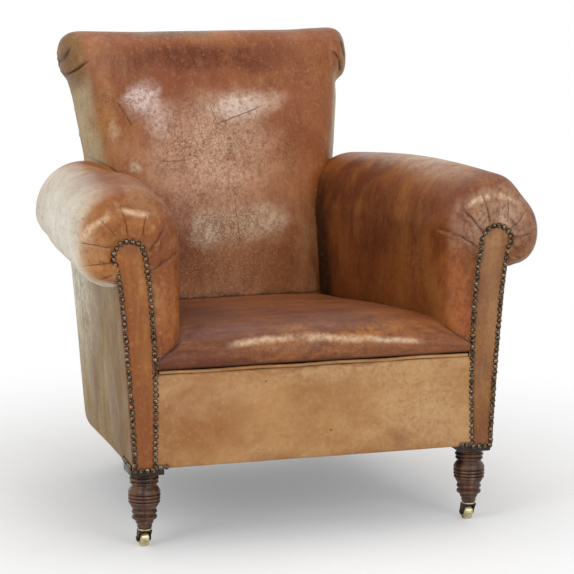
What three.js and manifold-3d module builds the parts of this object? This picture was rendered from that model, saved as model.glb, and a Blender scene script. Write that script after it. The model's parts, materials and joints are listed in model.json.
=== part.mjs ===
// Worn leather club chair: rolled arms on a sprung wooden frame, raked back with a rolled top,
// keyhole facings at the arm fronts, turned front legs on small brass casters, plain rear legs.
// Millimetres. X is the sitter's left-right axis, Y runs from the front to the back, Z is up.
// Everything is placed from the plane of the arm facings (Y 0) and the floor (Z 0), and the whole
// chair is moved at the end so that its origin is the centre of its footprint.
import * as THREE from 'three';
import { mergeVertices } from 'three/addons/utils/BufferGeometryUtils.js';
import Module from 'manifold-3d';

const wasm = await Module();
wasm.setup();

// Seams and joints
const FIT = 0.3;                   // gap left between pieces that touch
const SOFT_FIT = 0.6;              // gap left where one stuffed piece presses on another

// Seat
const SEAT_HALF_WIDTH = 243.6;     // inner face of the arm at the facings
const SEAT_DEPTH = 549;            // facings to the back, at the seat
const UNDERSIDE = 150;             // bottom of the seat rails
const RAIL_HEIGHT = 65;
const RAIL_THICK = 29;
const SEAM_HEIGHT = 316;           // welt between the front border and the seat
const SEAT_CROWN = 388;            // highest point of the seat, behind its front edge
const SEAT_REAR = 344;             // height of the middle of the seat where it meets the back
const SEAT_SIDE_FALL = 32;         // how far the seat is lower at the facings than in the middle
const SEAT_BULGE = 9;              // how far the seat's front edge stands proud of the facings
const SEAT_NOSE = 338;             // height of the foremost line of the seat
const SEAT_NOSE_ROUND = 70;        // the front edge is rounded back to here
const SEAT_BASE = 264;             // underside of the stuffing, on the spring cover
const BORDER_THICK = 9.2;
const WELT_RADIUS = 3.4;

// Arms
const ROLL_RADIUS = 91;            // outward reach of the roll from its axis
const ROLL_SPREAD_PER_MM = 0.005;  // how much fuller the roll gets towards the back
const ROLL_RISE = 96;              // upward reach of the roll from its axis
const ROLL_CREST = 14;             // its top bows up by this halfway along
const ROLL_UNDER = 74;             // the roll is flattened underneath
const ARM_REAR = SEAT_DEPTH + 106; // the roll stops beside the back
const ROLL_OUT = 88.4;             // axis of the roll outside the inner face, at the facing
const ROLL_HEIGHT = 539;           // height of that axis
const ROLL_IN_PER_MM = 0.0843;     // how much the roll's axis comes in for each mm towards the back
const ROLL_DROP_PER_MM = 0.037;
const ARM_INSIDE_PER_MM = 0.094;
const ARM_STUFFING = 52;           // thickness of the inner arm's stuffing
const ARM_FRONT_ROUND = 33;
const ARM_REAR_ROUND = 20;
const ARM_PAD_BOTTOM = 250;
const ARM_PANEL_TOP = 472;
const ARM_RAIL_HALF = 39;
const ARM_RAIL_THICK = 26;
const ARM_RAIL_INSIDE = 16;        // stuffing between the rail and the inner face of the arm
const ARM_POST_DEPTH = 42;

// Outside arm panel, a sheet that curves in towards the rear corner
const PANEL_THICK = 3.6;
const PANEL_OUT_LOW = 88.4;        // its front edge outside the seat's side, at the bottom
const PANEL_OUT_HIGH = 105.4;      // and under the roll
const PANEL_IN_PER_MM = 0.05;
const PANEL_OUT_REAR = 31.4;       // its rear edge outside the seat's side
const PANEL_CURVE = 230;           // length of the stretch that curves in
const PANEL_CURVE_POWER = 2.6;
const PANEL_BOTTOM = 146;

// Arm facing: a keyhole outline that the nail rows follow
const FACING_THICK = 2.6;
const FACING_MARGIN = 5;           // leather outside the line of nails
const FACING_BOW = 2.9;            // its inner edge bows over the seat by this at most
const FACING_FOOT = 147;
const FACING_FOOT_X = SEAT_HALF_WIDTH + 65.7;
const FACING_FOOT_HALF = 17.3;
const FACING_HEAD_X = SEAT_HALF_WIDTH + 89.9;
const FACING_HEAD_Z = ROLL_HEIGHT - 21;
const FACING_HEAD_RADIUS = 27.5;
const POST_MARGIN = 5.5;           // the post under a facing is this much narrower all round

// Back: a slab leaning on the rear rail, measured up the slope from its lower front edge
const RAKE = THREE.MathUtils.degToRad(13.9);
const BACK_FOOT = new THREE.Vector3(0, SEAT_DEPTH - 17, SEAT_BASE - 2);
const BACK_THICK = 110;
const BACK_CROWN = 16;             // forward bulge of the middle
const BACK_HALF_FOOT = SEAT_HALF_WIDTH - 60.8;
const BACK_WIDEN = 0.1318;         // how much wider it gets for each mm up the slope
const BACK_FLARE = 30;             // the rear edge is wider than the front edge by this
const BACK_EDGE_ROUND = 26;
const BACK_STUFFING = 36;
const BACK_SIDE_WALL = 11;
const BACK_ROLL_RADIUS = 54;
const BACK_ROLL_UP = 577;          // axis of the top roll, up the slope
const BACK_ROLL_IN = 59;           // and in from the front face
const BACK_CREST_HALF = SEAT_HALF_WIDTH + 20.4;
const EAR_REACH = 33;              // how far the pleated ends stand beyond the crest
const BACK_PANEL_THICK = 3.2;
const UPRIGHT_WIDTH = 36;
const UPRIGHT_DEPTH = 42;
const UPRIGHT_SET_BACK = 62;       // front of the uprights behind the front face

// Legs and casters
const LEG_X = SEAT_HALF_WIDTH + 58.9;
const LEG_Y = 37;
const LEG_BLOCK = 59;
const LEG_BLOCK_FOOT = 134;
const REAR_LEG_X = SEAT_HALF_WIDTH - 53.6;
const REAR_LEG_TOP = 44;
const REAR_LEG_TOE = 30;
const REAR_LEG_RAKE = 34;          // how far the toe stands behind the top
const WHEEL_RADIUS = 14;
const WHEEL_WIDTH = 15;
const WHEEL_TRAIL = 9;             // wheel axle behind the swivel axis
const AXLE_RADIUS = 2.5;
const STEM_RADIUS = 4;
const STEM_LENGTH = 26;
const FORK_THICK = 2.6;
const FORK_CLEAR = 1.3;            // between the wheel and the fork
const CASTER_PLATE_RADIUS = 12.4;
const CASTER_PLATE_THICK = 2.2;

// Springing
const WEB_WIDTH = 48;
const WEB_THICK = 2;
const SPRING_ROWS = [0.2, 0.53, 0.86].map((share) => share * SEAT_DEPTH);
const SPRING_COLUMNS = [-0.51, 0, 0.51].map((share) => share * SEAT_HALF_WIDTH);
const SPRING_RADIUS = 38;
const SPRING_WAIST = 27;
const SPRING_TURNS = 4;
const SPRING_WIRE = 2;
const COVER_THICK = 1.5;

const finishes = {
  sittingLeather: { color: 0x8a4a2a, roughness: 0.42 },
  borderLeather: { color: 0xa9784a, roughness: 0.55 },
  outsideLeather: { color: 0xb59b78, roughness: 0.6 },
  welt: { color: 0x5a3018, roughness: 0.5 },
  turnedWood: { color: 0x2e160d, roughness: 0.35 },
  frameWood: { color: 0xb48c5c, roughness: 0.75 },
  brass: { color: 0xb59a5c, roughness: 0.35, metalness: 1 },
  iron: { color: 0x3a3530, roughness: 0.5, metalness: 1 },
  springSteel: { color: 0x6c6a66, roughness: 0.45, metalness: 1 },
  webbing: { color: 0x8c7a55, roughness: 0.9 },
  blackCloth: { color: 0x191817, roughness: 0.95 },
};

// Booleans on closed meshes
function toSolid(geometry) {
  const bare = geometry.index ? geometry.clone() : geometry;
  bare.deleteAttribute('normal');
  bare.deleteAttribute('uv');
  const welded = mergeVertices(bare, 1e-4);
  return new wasm.Manifold(new wasm.Mesh({
    numProp: 3,
    vertProperties: Float32Array.from(welded.attributes.position.array),
    triVerts: Uint32Array.from(welded.index.array),
  }));
}

function toGeometry(solid) {
  const mesh = solid.getMesh();
  const geometry = new THREE.BufferGeometry();
  geometry.setAttribute('position', new THREE.BufferAttribute(mesh.vertProperties, 3));
  geometry.setIndex(new THREE.BufferAttribute(mesh.triVerts, 1));
  geometry.computeVertexNormals();
  return geometry;
}

function joined(geometries) {
  return toGeometry(geometries.map(toSolid).reduce((whole, next) => whole.add(next)));
}

function cutBy(geometry, cutters) {
  return toGeometry(cutters.map(toSolid).reduce((left, cutter) => left.subtract(cutter), toSolid(geometry)));
}

// A closed skin through a row of outlines with equal point counts, capped at both ends
function loft(outlines, place) {
  const count = outlines[0].length;
  const points = outlines.flatMap((outline, k) => outline.map((p) => place(p, k)));
  const faces = [];
  for (let k = 0; k < outlines.length - 1; k += 1) {
    for (let i = 0; i < count; i += 1) {
      const a = k * count + i;
      const b = k * count + (i + 1) % count;
      faces.push([a, b, b + count], [a, b + count, a + count]);
    }
  }
  const capFaces = (outline) => THREE.ShapeUtils.triangulateShape(outline, []).map(([a, b, c]) => {
    const turn = THREE.ShapeUtils.area([outline[a], outline[b], outline[c]]);
    return turn * THREE.ShapeUtils.area(outline) > 0 ? [a, b, c] : [a, c, b];
  });
  const last = (outlines.length - 1) * count;
  capFaces(outlines[0]).forEach(([a, b, c]) => faces.push([a, c, b]));
  capFaces(outlines.at(-1)).forEach(([a, b, c]) => faces.push([a + last, b + last, c + last]));
  const volume = faces.reduce((sum, [a, b, c]) => (
    sum + points[a].dot(new THREE.Vector3().crossVectors(points[b], points[c]))), 0);
  const outward = volume > 0 ? faces : faces.map(([a, b, c]) => [a, c, b]);
  const geometry = new THREE.BufferGeometry().setFromPoints(points);
  geometry.setIndex(outward.flat());
  geometry.computeVertexNormals();
  return geometry;
}

function mirrored(geometry) {
  const twin = geometry.clone().scale(-1, 1, 1);
  const { position } = geometry.attributes;
  const index = Array.from({ length: geometry.index ? geometry.index.count : position.count }, (_, i) => (
    geometry.index ? geometry.index.getX(i) : i));
  for (let i = 0; i < index.length; i += 3) {
    [index[i + 1], index[i + 2]] = [index[i + 2], index[i + 1]];
  }
  twin.setIndex(index);
  twin.computeVertexNormals();
  return twin;
}

// A flat outline in X and Y, raised between two heights
function slab(points, low, high) {
  const outline = new THREE.Shape(points.map(([x, y]) => new THREE.Vector2(x, y)));
  return new THREE.ExtrudeGeometry(outline, { depth: high - low, bevelEnabled: false }).translate(0, 0, low);
}

// A flat outline in X and Z, carried between two distances behind the facings
function plate(shape, front, rear, segments = 8) {
  return new THREE.ExtrudeGeometry(shape, { depth: rear - front, bevelEnabled: false, curveSegments: segments })
    .rotateX(Math.PI / 2)
    .translate(0, rear, 0);
}

function block(x0, x1, y0, y1, z0, z1) {
  return new THREE.BoxGeometry(x1 - x0, y1 - y0, z1 - z0)
    .translate((x0 + x1) / 2, (y0 + y1) / 2, (z0 + z1) / 2);
}

function rod(radius, length, sides = 16) {
  return new THREE.CylinderGeometry(radius, radius, length, sides).rotateX(Math.PI / 2);
}

const chair = new THREE.Group();

function add(name, geometry, finish, parent = chair) {
  const mesh = new THREE.Mesh(geometry, new THREE.MeshStandardMaterial(finishes[finish]));
  mesh.name = name;
  parent.add(mesh);
  return mesh;
}

function addPair(name, geometry, finish, parent = chair) {
  add(`${name}_right`, geometry, finish, parent);
  add(`${name}_left`, mirrored(geometry), finish, parent);
}

// Plan of the chair
const lean = Math.tan(RAKE);
const armInside = (y) => SEAT_HALF_WIDTH - ARM_INSIDE_PER_MM * y;
const rollX = (y) => SEAT_HALF_WIDTH + ROLL_OUT - ROLL_IN_PER_MM * y;
const rollZ = (y) => ROLL_HEIGHT - ROLL_DROP_PER_MM * y;
const backRear = (z) => BACK_FOOT.y + (z - BACK_FOOT.z) * lean + BACK_THICK / Math.cos(RAKE);
const panelRear = (z) => backRear(z) - FIT;
const panelFrontX = (z) => THREE.MathUtils.mapLinear(
  z, PANEL_BOTTOM, ARM_PANEL_TOP, SEAT_HALF_WIDTH + PANEL_OUT_LOW, SEAT_HALF_WIDTH + PANEL_OUT_HIGH);
const panelRearX = SEAT_HALF_WIDTH + PANEL_OUT_REAR;

function outsideX(y, z) {
  const rear = panelRear(z);
  const straight = panelFrontX(z) - PANEL_IN_PER_MM * y;
  const along = Math.max(0, (y - rear + PANEL_CURVE) / PANEL_CURVE);
  const inward = panelFrontX(z) - PANEL_IN_PER_MM * rear - panelRearX;
  return straight - inward * along ** PANEL_CURVE_POWER;
}

// The nail line of a facing, grown by a margin
function keyhole(margin, foot = FACING_FOOT) {
  const rise = FACING_HEAD_Z - FACING_FOOT;
  const steps = 9;
  const side = (sign) => Array.from({ length: steps }, (_, i) => {
    const z = foot + (FACING_HEAD_Z - foot) * (1 - (1 - i / steps) ** 1.6);
    const t = (z - FACING_FOOT) / rise;
    const turnOut = t ** 12;
    const middle = FACING_FOOT_X + (FACING_HEAD_X - FACING_FOOT_X) * (0.75 * t ** 2 + 0.25 * turnOut);
    const widening = (FACING_HEAD_RADIUS - FACING_FOOT_HALF) * (0.8 * (1 - (1 - t) ** 2) + 0.2 * turnOut);
    return new THREE.Vector2(middle + sign * (FACING_FOOT_HALF + widening + margin), z);
  });
  const outer = side(1);
  const inner = side(-1).reverse();
  const shape = new THREE.Shape(outer);
  shape.absarc(FACING_HEAD_X, FACING_HEAD_Z, FACING_HEAD_RADIUS + margin, 0, Math.PI, false);
  inner.forEach((p) => shape.lineTo(p.x, p.y));
  shape.closePath();
  return shape;
}

// Seat stuffing with its cover: crowned, wider in front of the arms, dipping towards the back
function seatTop(x, y) {
  const behind = THREE.MathUtils.clamp((y - SEAT_NOSE_ROUND) / (SEAT_DEPTH - SEAT_NOSE_ROUND), 0, 1);
  const ahead = THREE.MathUtils.clamp((SEAT_NOSE_ROUND - y) / (SEAT_NOSE_ROUND + SEAT_BULGE), 0, 1);
  const middle = SEAT_CROWN - (SEAT_CROWN - SEAT_REAR) * behind ** 1.25
    - (SEAT_CROWN - SEAT_NOSE) * (1 - Math.sqrt(1 - ahead ** 2));
  return middle - SEAT_SIDE_FALL * (Math.abs(x) / 286) ** 4;
}

function seatPad(grow) {
  const across = 14;
  const wing = FACING_FOOT_X - FACING_FOOT_HALF - FACING_MARGIN - FACING_BOW;
  const wingEnd = ARM_FRONT_ROUND + grow;
  const seam = SEAM_HEIGHT + 5;
  const stations = [
    { y: -SEAT_BULGE - grow, half: wing, low: SEAT_NOSE - 7 },
    { y: -0.7 * SEAT_BULGE - grow, half: wing, low: seam + 4 },
    { y: -0.2 * SEAT_BULGE, half: wing, low: seam + 0.6 },
    { y: BORDER_THICK, half: wing, low: seam },
    { y: BORDER_THICK + 0.5, half: wing, low: SEAT_BASE },
    { y: 0.6 * ARM_FRONT_ROUND, half: wing, low: SEAT_BASE },
    { y: wingEnd - 0.4, half: wing, low: SEAT_BASE }];
  const behindWings = [0, 0.04, 0.1, 0.22, 0.4, 0.6, 0.8, 1];
  for (const share of behindWings) {
    const y = THREE.MathUtils.lerp(wingEnd, SEAT_DEPTH + 12, share);
    stations.push({ y, half: armInside(y) - SOFT_FIT, low: SEAT_BASE });
  }
  const outlines = stations.map(({ y, half, low }) => {
    const top = Array.from({ length: across + 1 }, (_, i) => {
      const x = (half + grow) * (1 - 2 * i / across);
      const least = low + 5 + 3 * (1 - (x / half) ** 2);
      return new THREE.Vector2(x, Math.max(least, seatTop(x, Math.max(y, -SEAT_BULGE))) + grow);
    });
    return [new THREE.Vector2(-half - grow, low - grow), new THREE.Vector2(half + grow, low - grow), ...top];
  });
  return loft(outlines, (p, k) => new THREE.Vector3(p.x, stations[k].y, p.y));
}

// The slab of the back in its own leaning frame: X across, Y in from the front, Z up the slope
const backHalf = (up) => BACK_HALF_FOOT + BACK_WIDEN * up;
const backSide = (up, depth) => backHalf(up)
  + BACK_FLARE * (depth - BACK_EDGE_ROUND) / (BACK_THICK - BACK_EDGE_ROUND);
const uprightSide = (up) => backSide(up, UPRIGHT_SET_BACK) - BACK_SIDE_WALL;

function backSlab(grow) {
  const levels = [0, 0.25, 0.5, 0.74, 0.88, 1].map((share) => share * (BACK_ROLL_UP - 8));
  const faceSteps = 8;
  const cornerSteps = 3;
  const outlines = levels.map((up) => {
    const half = backHalf(up) + grow;
    const round = BACK_EDGE_ROUND;
    const crown = BACK_CROWN * (up > 0.9 * BACK_ROLL_UP ? 0.55 : 1);
    const flat = half - round;
    const face = Array.from({ length: faceSteps + 1 }, (_, i) => {
      const x = -flat + 2 * flat * i / faceSteps;
      return new THREE.Vector2(x, -crown * (1 - (x / flat) ** 2) - grow);
    });
    const corner = (sign) => Array.from({ length: cornerSteps }, (_, i) => {
      const angle = (i + 1) / cornerSteps * Math.PI / 2;
      return new THREE.Vector2(sign * (flat + round * Math.sin(angle)), round - round * Math.cos(angle) - grow);
    });
    const rear = BACK_THICK + grow;
    return [...face, ...corner(1), new THREE.Vector2(half + BACK_FLARE, rear),
      new THREE.Vector2(-half - BACK_FLARE, rear), ...corner(-1).reverse()];
  });
  const sink = (k) => (k === 0 ? levels[k] - grow : levels[k]);
  return loft(outlines, (p, k) => new THREE.Vector3(p.x, p.y, sink(k)));
}

// The rolled top, whose ends shrink and swing down and back into pleated ears
function backRoll(grow) {
  const sides = 18;
  const ends = [[0, 1, 0], [0.42, 0.93, 7], [0.75, 0.74, 17], [0.95, 0.46, 27]];
  const stations = [...ends.map(([share, size, slip]) => ({ x: BACK_CREST_HALF + EAR_REACH * share, size, slip }))];
  const all = [...stations.toReversed().map((s) => ({ ...s, x: -s.x })), ...stations];
  const outlines = all.map(({ size }) => Array.from({ length: sides }, (_, i) => {
    const angle = i / sides * 2 * Math.PI;
    const radius = BACK_ROLL_RADIUS * size + grow;
    return new THREE.Vector2(radius * Math.cos(angle), radius * Math.sin(angle));
  }));
  return loft(outlines, (p, k) => new THREE.Vector3(
    all[k].x, BACK_ROLL_IN + all[k].slip + p.x, BACK_ROLL_UP - 0.2 * all[k].slip + p.y));
}

const back = new THREE.Group();
back.position.copy(BACK_FOOT);
back.rotation.x = -RAKE;
back.updateMatrixWorld();
chair.add(back);
const fromBack = (geometry) => geometry.clone().applyMatrix4(back.matrixWorld);
const toBack = (geometry) => geometry.clone().applyMatrix4(back.matrixWorld.clone().invert());

// Frame of the arm: a board in the roll, with a tongue that runs into the back to its upright
const armRailFront = ARM_POST_DEPTH + FIT;
const armRailRear = ARM_REAR - ARM_REAR_ROUND - 4;

function armRail(grow) {
  const length = (front, rear, outside) => {
    const ends = [front - grow, rear + grow];
    const outlines = ends.map((y) => {
      const inner = armInside(y) + ARM_RAIL_INSIDE - grow;
      const outer = outside(y) + grow;
      const top = rollZ(y) - 6 + grow;
      const low = top - ARM_RAIL_THICK - 2 * grow;
      return [[inner, low], [outer, low], [outer, top], [inner, top]].map(([x, z]) => new THREE.Vector2(x, z));
    });
    return loft(outlines, (p, k) => new THREE.Vector3(p.x, ends[k], p.y));
  };
  const board = length(armRailFront, armRailRear, (y) => rollX(y) + ARM_RAIL_HALF);
  const tongue = length(armRailRear - 20, armRailRear + 50, () => uprightSide(230));
  return joined([board, tongue]);
}

// Uprights of the back follow the widening sides of the slab
function upright(grow) {
  const ends = [-32, BACK_ROLL_UP - 70];
  const outlines = ends.map((up) => {
    const outer = uprightSide(up) + grow;
    const inner = outer - UPRIGHT_WIDTH - 2 * grow;
    const rear = UPRIGHT_SET_BACK + UPRIGHT_DEPTH + grow;
    const front = UPRIGHT_SET_BACK - grow;
    return [new THREE.Vector2(inner, front), new THREE.Vector2(outer, front),
      new THREE.Vector2(outer, rear), new THREE.Vector2(inner, rear)];
  });
  return loft(outlines, (p, k) => new THREE.Vector3(p.x, p.y, ends[k]));
}

// Cross-section of the roll by angle, drawn for the right-hand side
function rollPoint(angle, y, grow) {
  const along = THREE.MathUtils.clamp(y / ARM_REAR, 0, 1);
  const outward = ROLL_RADIUS + ROLL_SPREAD_PER_MM * y + grow;
  const inward = rollX(y) - armInside(y) + grow;
  const upward = ROLL_RISE + ROLL_CREST * Math.sin(along * Math.PI) + grow;
  const across = Math.cos(angle) * (Math.cos(angle) > 0 ? outward : inward);
  const rise = Math.sin(angle) * (Math.sin(angle) > 0 ? upward : ROLL_UNDER + grow);
  return new THREE.Vector2(rollX(y) + across, rollZ(y) + rise);
}

// Stuffed arm: inner wall, roll and rounded scroll
function armPadOutline(y, inset) {
  const steps = 17;
  const inside = armInside(y) + inset;
  const wall = armInside(y) + ARM_STUFFING;
  const lip = Math.min(outsideX(y, ARM_PANEL_TOP) - PANEL_THICK - 2, rollX(y) + ROLL_RADIUS * 0.55);
  const outward = ROLL_RADIUS + ROLL_SPREAD_PER_MM * y - inset;
  const start = -Math.acos((lip - rollX(y)) / outward);
  const arc = Array.from({ length: steps + 1 }, (_, i) => (
    rollPoint(start + (Math.PI - start) * (i / steps), y, -inset)));
  const ceiling = rollZ(y) - ROLL_UNDER + 21;
  return [new THREE.Vector2(inside, ARM_PAD_BOTTOM), new THREE.Vector2(wall, ARM_PAD_BOTTOM),
    new THREE.Vector2(wall, ceiling), new THREE.Vector2(lip, ceiling), ...arc,
    new THREE.Vector2(inside, (ARM_PAD_BOTTOM + rollZ(y)) / 2)];
}

function armPad() {
  const stations = [];
  for (let i = 0; i <= 4; i += 1) {
    const turn = i / 4 * Math.PI / 2;
    stations.push([ARM_FRONT_ROUND * (1 - Math.cos(turn)), ARM_FRONT_ROUND * (1 - Math.sin(turn))]);
  }
  for (const share of [0.2, 0.4, 0.6, 0.8]) stations.push([ARM_REAR * share, 0]);
  for (let i = 0; i <= 2; i += 1) {
    const turn = i / 2 * Math.PI / 2;
    stations.push([ARM_REAR - ARM_REAR_ROUND * (1 - Math.sin(turn)), ARM_REAR_ROUND * (1 - Math.cos(turn))]);
  }
  const outlines = stations.map(([y, inset]) => armPadOutline(y, inset));
  return loft(outlines, (p, k) => new THREE.Vector3(p.x, stations[k][0], p.y));
}

// The roll alone, a little larger, which trims what runs up to it from below
function rollClearance() {
  const ends = [-20, 0.3 * ARM_REAR, 0.7 * ARM_REAR, ARM_REAR + FIT];
  const outlines = ends.map((y) => (
    Array.from({ length: 24 }, (_, i) => rollPoint(i / 24 * 2 * Math.PI, y, 1.4))));
  return loft(outlines, (p, k) => new THREE.Vector3(p.x, ends[k], p.y));
}

// Turned front leg: a square block on a lathe-turned foot with beads, bored for the caster stem
const casterTop = 2 * WHEEL_RADIUS + FORK_CLEAR + FORK_THICK;
const legFoot = casterTop + FIT + CASTER_PLATE_THICK + FIT;

function turnedLeg() {
  const bore = STEM_RADIUS + FIT;
  const boreTop = casterTop + STEM_LENGTH + 1;
  const up = (share) => THREE.MathUtils.lerp(legFoot, LEG_BLOCK_FOOT, share);
  const ring = (share, radius, bulge, height) => [
    [radius, up(share) - height / 2], [radius + bulge, up(share) - height / 4],
    [radius + bulge, up(share) + height / 4], [radius, up(share) + height / 2]];
  const profile = [
    [0, boreTop], [bore, boreTop], [bore, up(0)], [10.5, up(0)], [13, up(0.03)],
    [13, up(0.08)], [15.5, up(0.1)], [16.2, up(0.15)], [19, up(0.17)],
    ...ring(0.224, 19.6, 2.2, 8), [21.6, up(0.315)], [24.6, up(0.405)], ...ring(0.466, 26.2, 1.4, 5),
    ...ring(0.526, 27, 1.4, 5), ...ring(0.587, 27.4, 1.4, 5), [27.6, up(0.657)], [25.2, up(0.728)],
    [21, up(0.783)], ...ring(0.829, 21, 4, 6), ...ring(0.899, 21.4, 4.2, 6.5), [22, up(0.96)],
    [26.5, LEG_BLOCK_FOOT], [26.5, LEG_BLOCK_FOOT + 2], [0, LEG_BLOCK_FOOT + 2]];
  const foot = new THREE.LatheGeometry(profile.map(([r, z]) => new THREE.Vector2(r, z)), 20)
    .rotateX(Math.PI / 2);
  const top = UNDERSIDE + RAIL_HEIGHT;
  const half = LEG_BLOCK / 2;
  return joined([foot, block(-half, half, -half, half, LEG_BLOCK_FOOT, top)]).translate(LEG_X, LEG_Y, 0);
}

// Outside panel of the arm, or with margins the room that it needs
function armPanel(outward, inward) {
  const levels = [PANEL_BOTTOM - inward, (PANEL_BOTTOM + ARM_PANEL_TOP) / 2, ARM_PANEL_TOP + inward];
  const shares = [0, 0.67, 0.74, 0.81, 0.88, 0.94, 1];
  const outlines = levels.map((z) => {
    const stops = shares.map((share) => THREE.MathUtils.lerp(2, panelRear(z), share));
    const outer = stops.map((y) => new THREE.Vector2(outsideX(y, z) + outward, y));
    const inner = stops.map((y) => new THREE.Vector2(outsideX(y, z) - PANEL_THICK - inward, y)).reverse();
    return [...outer, ...inner];
  });
  return loft(outlines, (p, k) => new THREE.Vector3(p.x, p.y, levels[k]));
}

// Plain rear leg: square, tapering, its toe swept back
function rearLeg() {
  const rail = rearRailPlan();
  const top = UNDERSIDE - FIT;
  const levels = [0, 0.25, 0.5, 0.75, 1];
  const outlines = levels.map((share) => {
    const half = THREE.MathUtils.lerp(REAR_LEG_TOE, REAR_LEG_TOP, share) / 2;
    return [[-half, -half], [half, -half], [half, half], [-half, half]].map(([x, y]) => new THREE.Vector2(x, y));
  });
  return loft(outlines, (p, k) => new THREE.Vector3(
    REAR_LEG_X + p.x, rail.middle + REAR_LEG_RAKE * (1 - levels[k]) ** 1.8 + p.y, top * levels[k]));
}

// Seat rails
function rearRailPlan() {
  const rear = backRear(UNDERSIDE) - FIT - 1;
  return { front: rear - REAR_LEG_TOP + 3, rear, middle: rear - REAR_LEG_TOP / 2 };
}

function sideRailPlan() {
  const start = LEG_Y + LEG_BLOCK / 2 + FIT;
  const end = rearRailPlan().front - FIT;
  const stops = [0, 0.3, 0.6, 0.8, 1].map((share) => THREE.MathUtils.lerp(start, end, share));
  const outerX = (y) => outsideX(y, UNDERSIDE) - PANEL_THICK - FIT;
  const outer = stops.map((y) => [outerX(y), y]);
  const inner = [[outerX(end) - RAIL_THICK, end], [outerX(start) - RAIL_THICK, start]];
  return { outer, inner, start, end, outerX };
}

// Casters: plate on the leg, forked swivel with its stem, axle, wheel
function caster(side, sign) {
  const group = new THREE.Group();
  group.position.set(sign * LEG_X, LEG_Y, 0);
  chair.add(group);
  const plateShape = new THREE.Shape().absarc(0, 0, CASTER_PLATE_RADIUS, 0, 2 * Math.PI, false);
  plateShape.holes.push(new THREE.Path().absarc(0, 0, STEM_RADIUS + FIT, 0, 2 * Math.PI, true));
  const plateGeometry = new THREE.ExtrudeGeometry(plateShape, {
    depth: CASTER_PLATE_THICK, bevelEnabled: false, curveSegments: 10 }).translate(0, 0, casterTop + FIT);
  add(`caster_plate_${side}`, plateGeometry, 'brass', group);

  const innerHalf = WHEEL_WIDTH / 2 + FORK_CLEAR;
  const outerHalf = innerHalf + FORK_THICK;
  const cheek = new THREE.Shape();
  cheek.moveTo(-9, casterTop);
  cheek.lineTo(WHEEL_TRAIL - 5.5, WHEEL_RADIUS - 1);
  cheek.absarc(WHEEL_TRAIL, WHEEL_RADIUS, 6, Math.PI, 2 * Math.PI, false);
  cheek.lineTo(10, casterTop);
  cheek.closePath();
  const cheekAt = (x) => new THREE.ExtrudeGeometry(cheek, {
    depth: FORK_THICK, bevelEnabled: false, curveSegments: 6 })
    .rotateX(Math.PI / 2).rotateZ(Math.PI / 2).translate(x, 0, 0);
  const bridge = block(-outerHalf, outerHalf, -9, 10, casterTop - FORK_THICK, casterTop);
  const stem = rod(STEM_RADIUS, STEM_LENGTH + 1, 14).translate(0, 0, casterTop + STEM_LENGTH / 2 - 0.5);
  const body = joined([cheekAt(-outerHalf), cheekAt(innerHalf), bridge, stem]);
  const axleHole = rod(AXLE_RADIUS + FIT, 4 * outerHalf, 14).rotateY(Math.PI / 2)
    .translate(0, WHEEL_TRAIL, WHEEL_RADIUS);
  add(`caster_fork_${side}`, cutBy(body, [axleHole]), 'iron', group);

  const head = AXLE_RADIUS + 1.6;
  const reach = outerHalf + FIT;
  const pin = [[0, -reach - 1.8], [head, -reach - 1.2], [head, -reach], [AXLE_RADIUS, -reach],
    [AXLE_RADIUS, reach], [head, reach], [head, reach + 1.2], [0, reach + 1.8]];
  const axle = new THREE.LatheGeometry(pin.map(([r, z]) => new THREE.Vector2(r, z)), 14)
    .rotateZ(-Math.PI / 2).translate(0, WHEEL_TRAIL, WHEEL_RADIUS);
  add(`caster_axle_${side}`, axle, 'iron', group);

  const hub = AXLE_RADIUS + FIT;
  const half = WHEEL_WIDTH / 2;
  const tread = [[hub, -half], [7, -half], [8.5, -half + 1.6], [11, -half + 1.6], [12.4, -half],
    [WHEEL_RADIUS - 0.5, -half + 1.2], [WHEEL_RADIUS, -half + 3], [WHEEL_RADIUS, half - 3],
    [WHEEL_RADIUS - 0.5, half - 1.2], [12.4, half], [11, half - 1.6], [8.5, half - 1.6], [7, half],
    [hub, half], [hub, -half]];
  const wheel = new THREE.LatheGeometry(tread.map(([r, z]) => new THREE.Vector2(r, z)), 24)
    .rotateZ(-Math.PI / 2).rotateX(Math.PI / 2).translate(0, WHEEL_TRAIL, WHEEL_RADIUS);
  add(`caster_wheel_${side}`, wheel, 'brass', group);
}

// Hourglass seat spring standing on the webbing
class SpringCurve extends THREE.Curve {
  getPoint(t, target = new THREE.Vector3()) {
    const angle = t * SPRING_TURNS * 2 * Math.PI;
    const radius = SPRING_WAIST + (SPRING_RADIUS - SPRING_WAIST) * (2 * t - 1) ** 2;
    const low = UNDERSIDE + SPRING_WIRE + FIT;
    const high = SEAT_BASE - FIT - COVER_THICK - SPRING_WIRE - FIT;
    return target.set(radius * Math.cos(angle), radius * Math.sin(angle), low + (high - low) * t);
  }
}

function spring() {
  const wire = new THREE.Shape();
  const sides = 5;
  for (let i = 0; i < sides; i += 1) {
    const angle = i / sides * 2 * Math.PI;
    const corner = [SPRING_WIRE * Math.cos(angle), SPRING_WIRE * Math.sin(angle)];
    if (i === 0) wire.moveTo(...corner);
    else wire.lineTo(...corner);
  }
  wire.closePath();
  return new THREE.ExtrudeGeometry(wire, {
    steps: 9 * SPRING_TURNS, bevelEnabled: false, extrudePath: new SpringCurve() });
}

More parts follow.
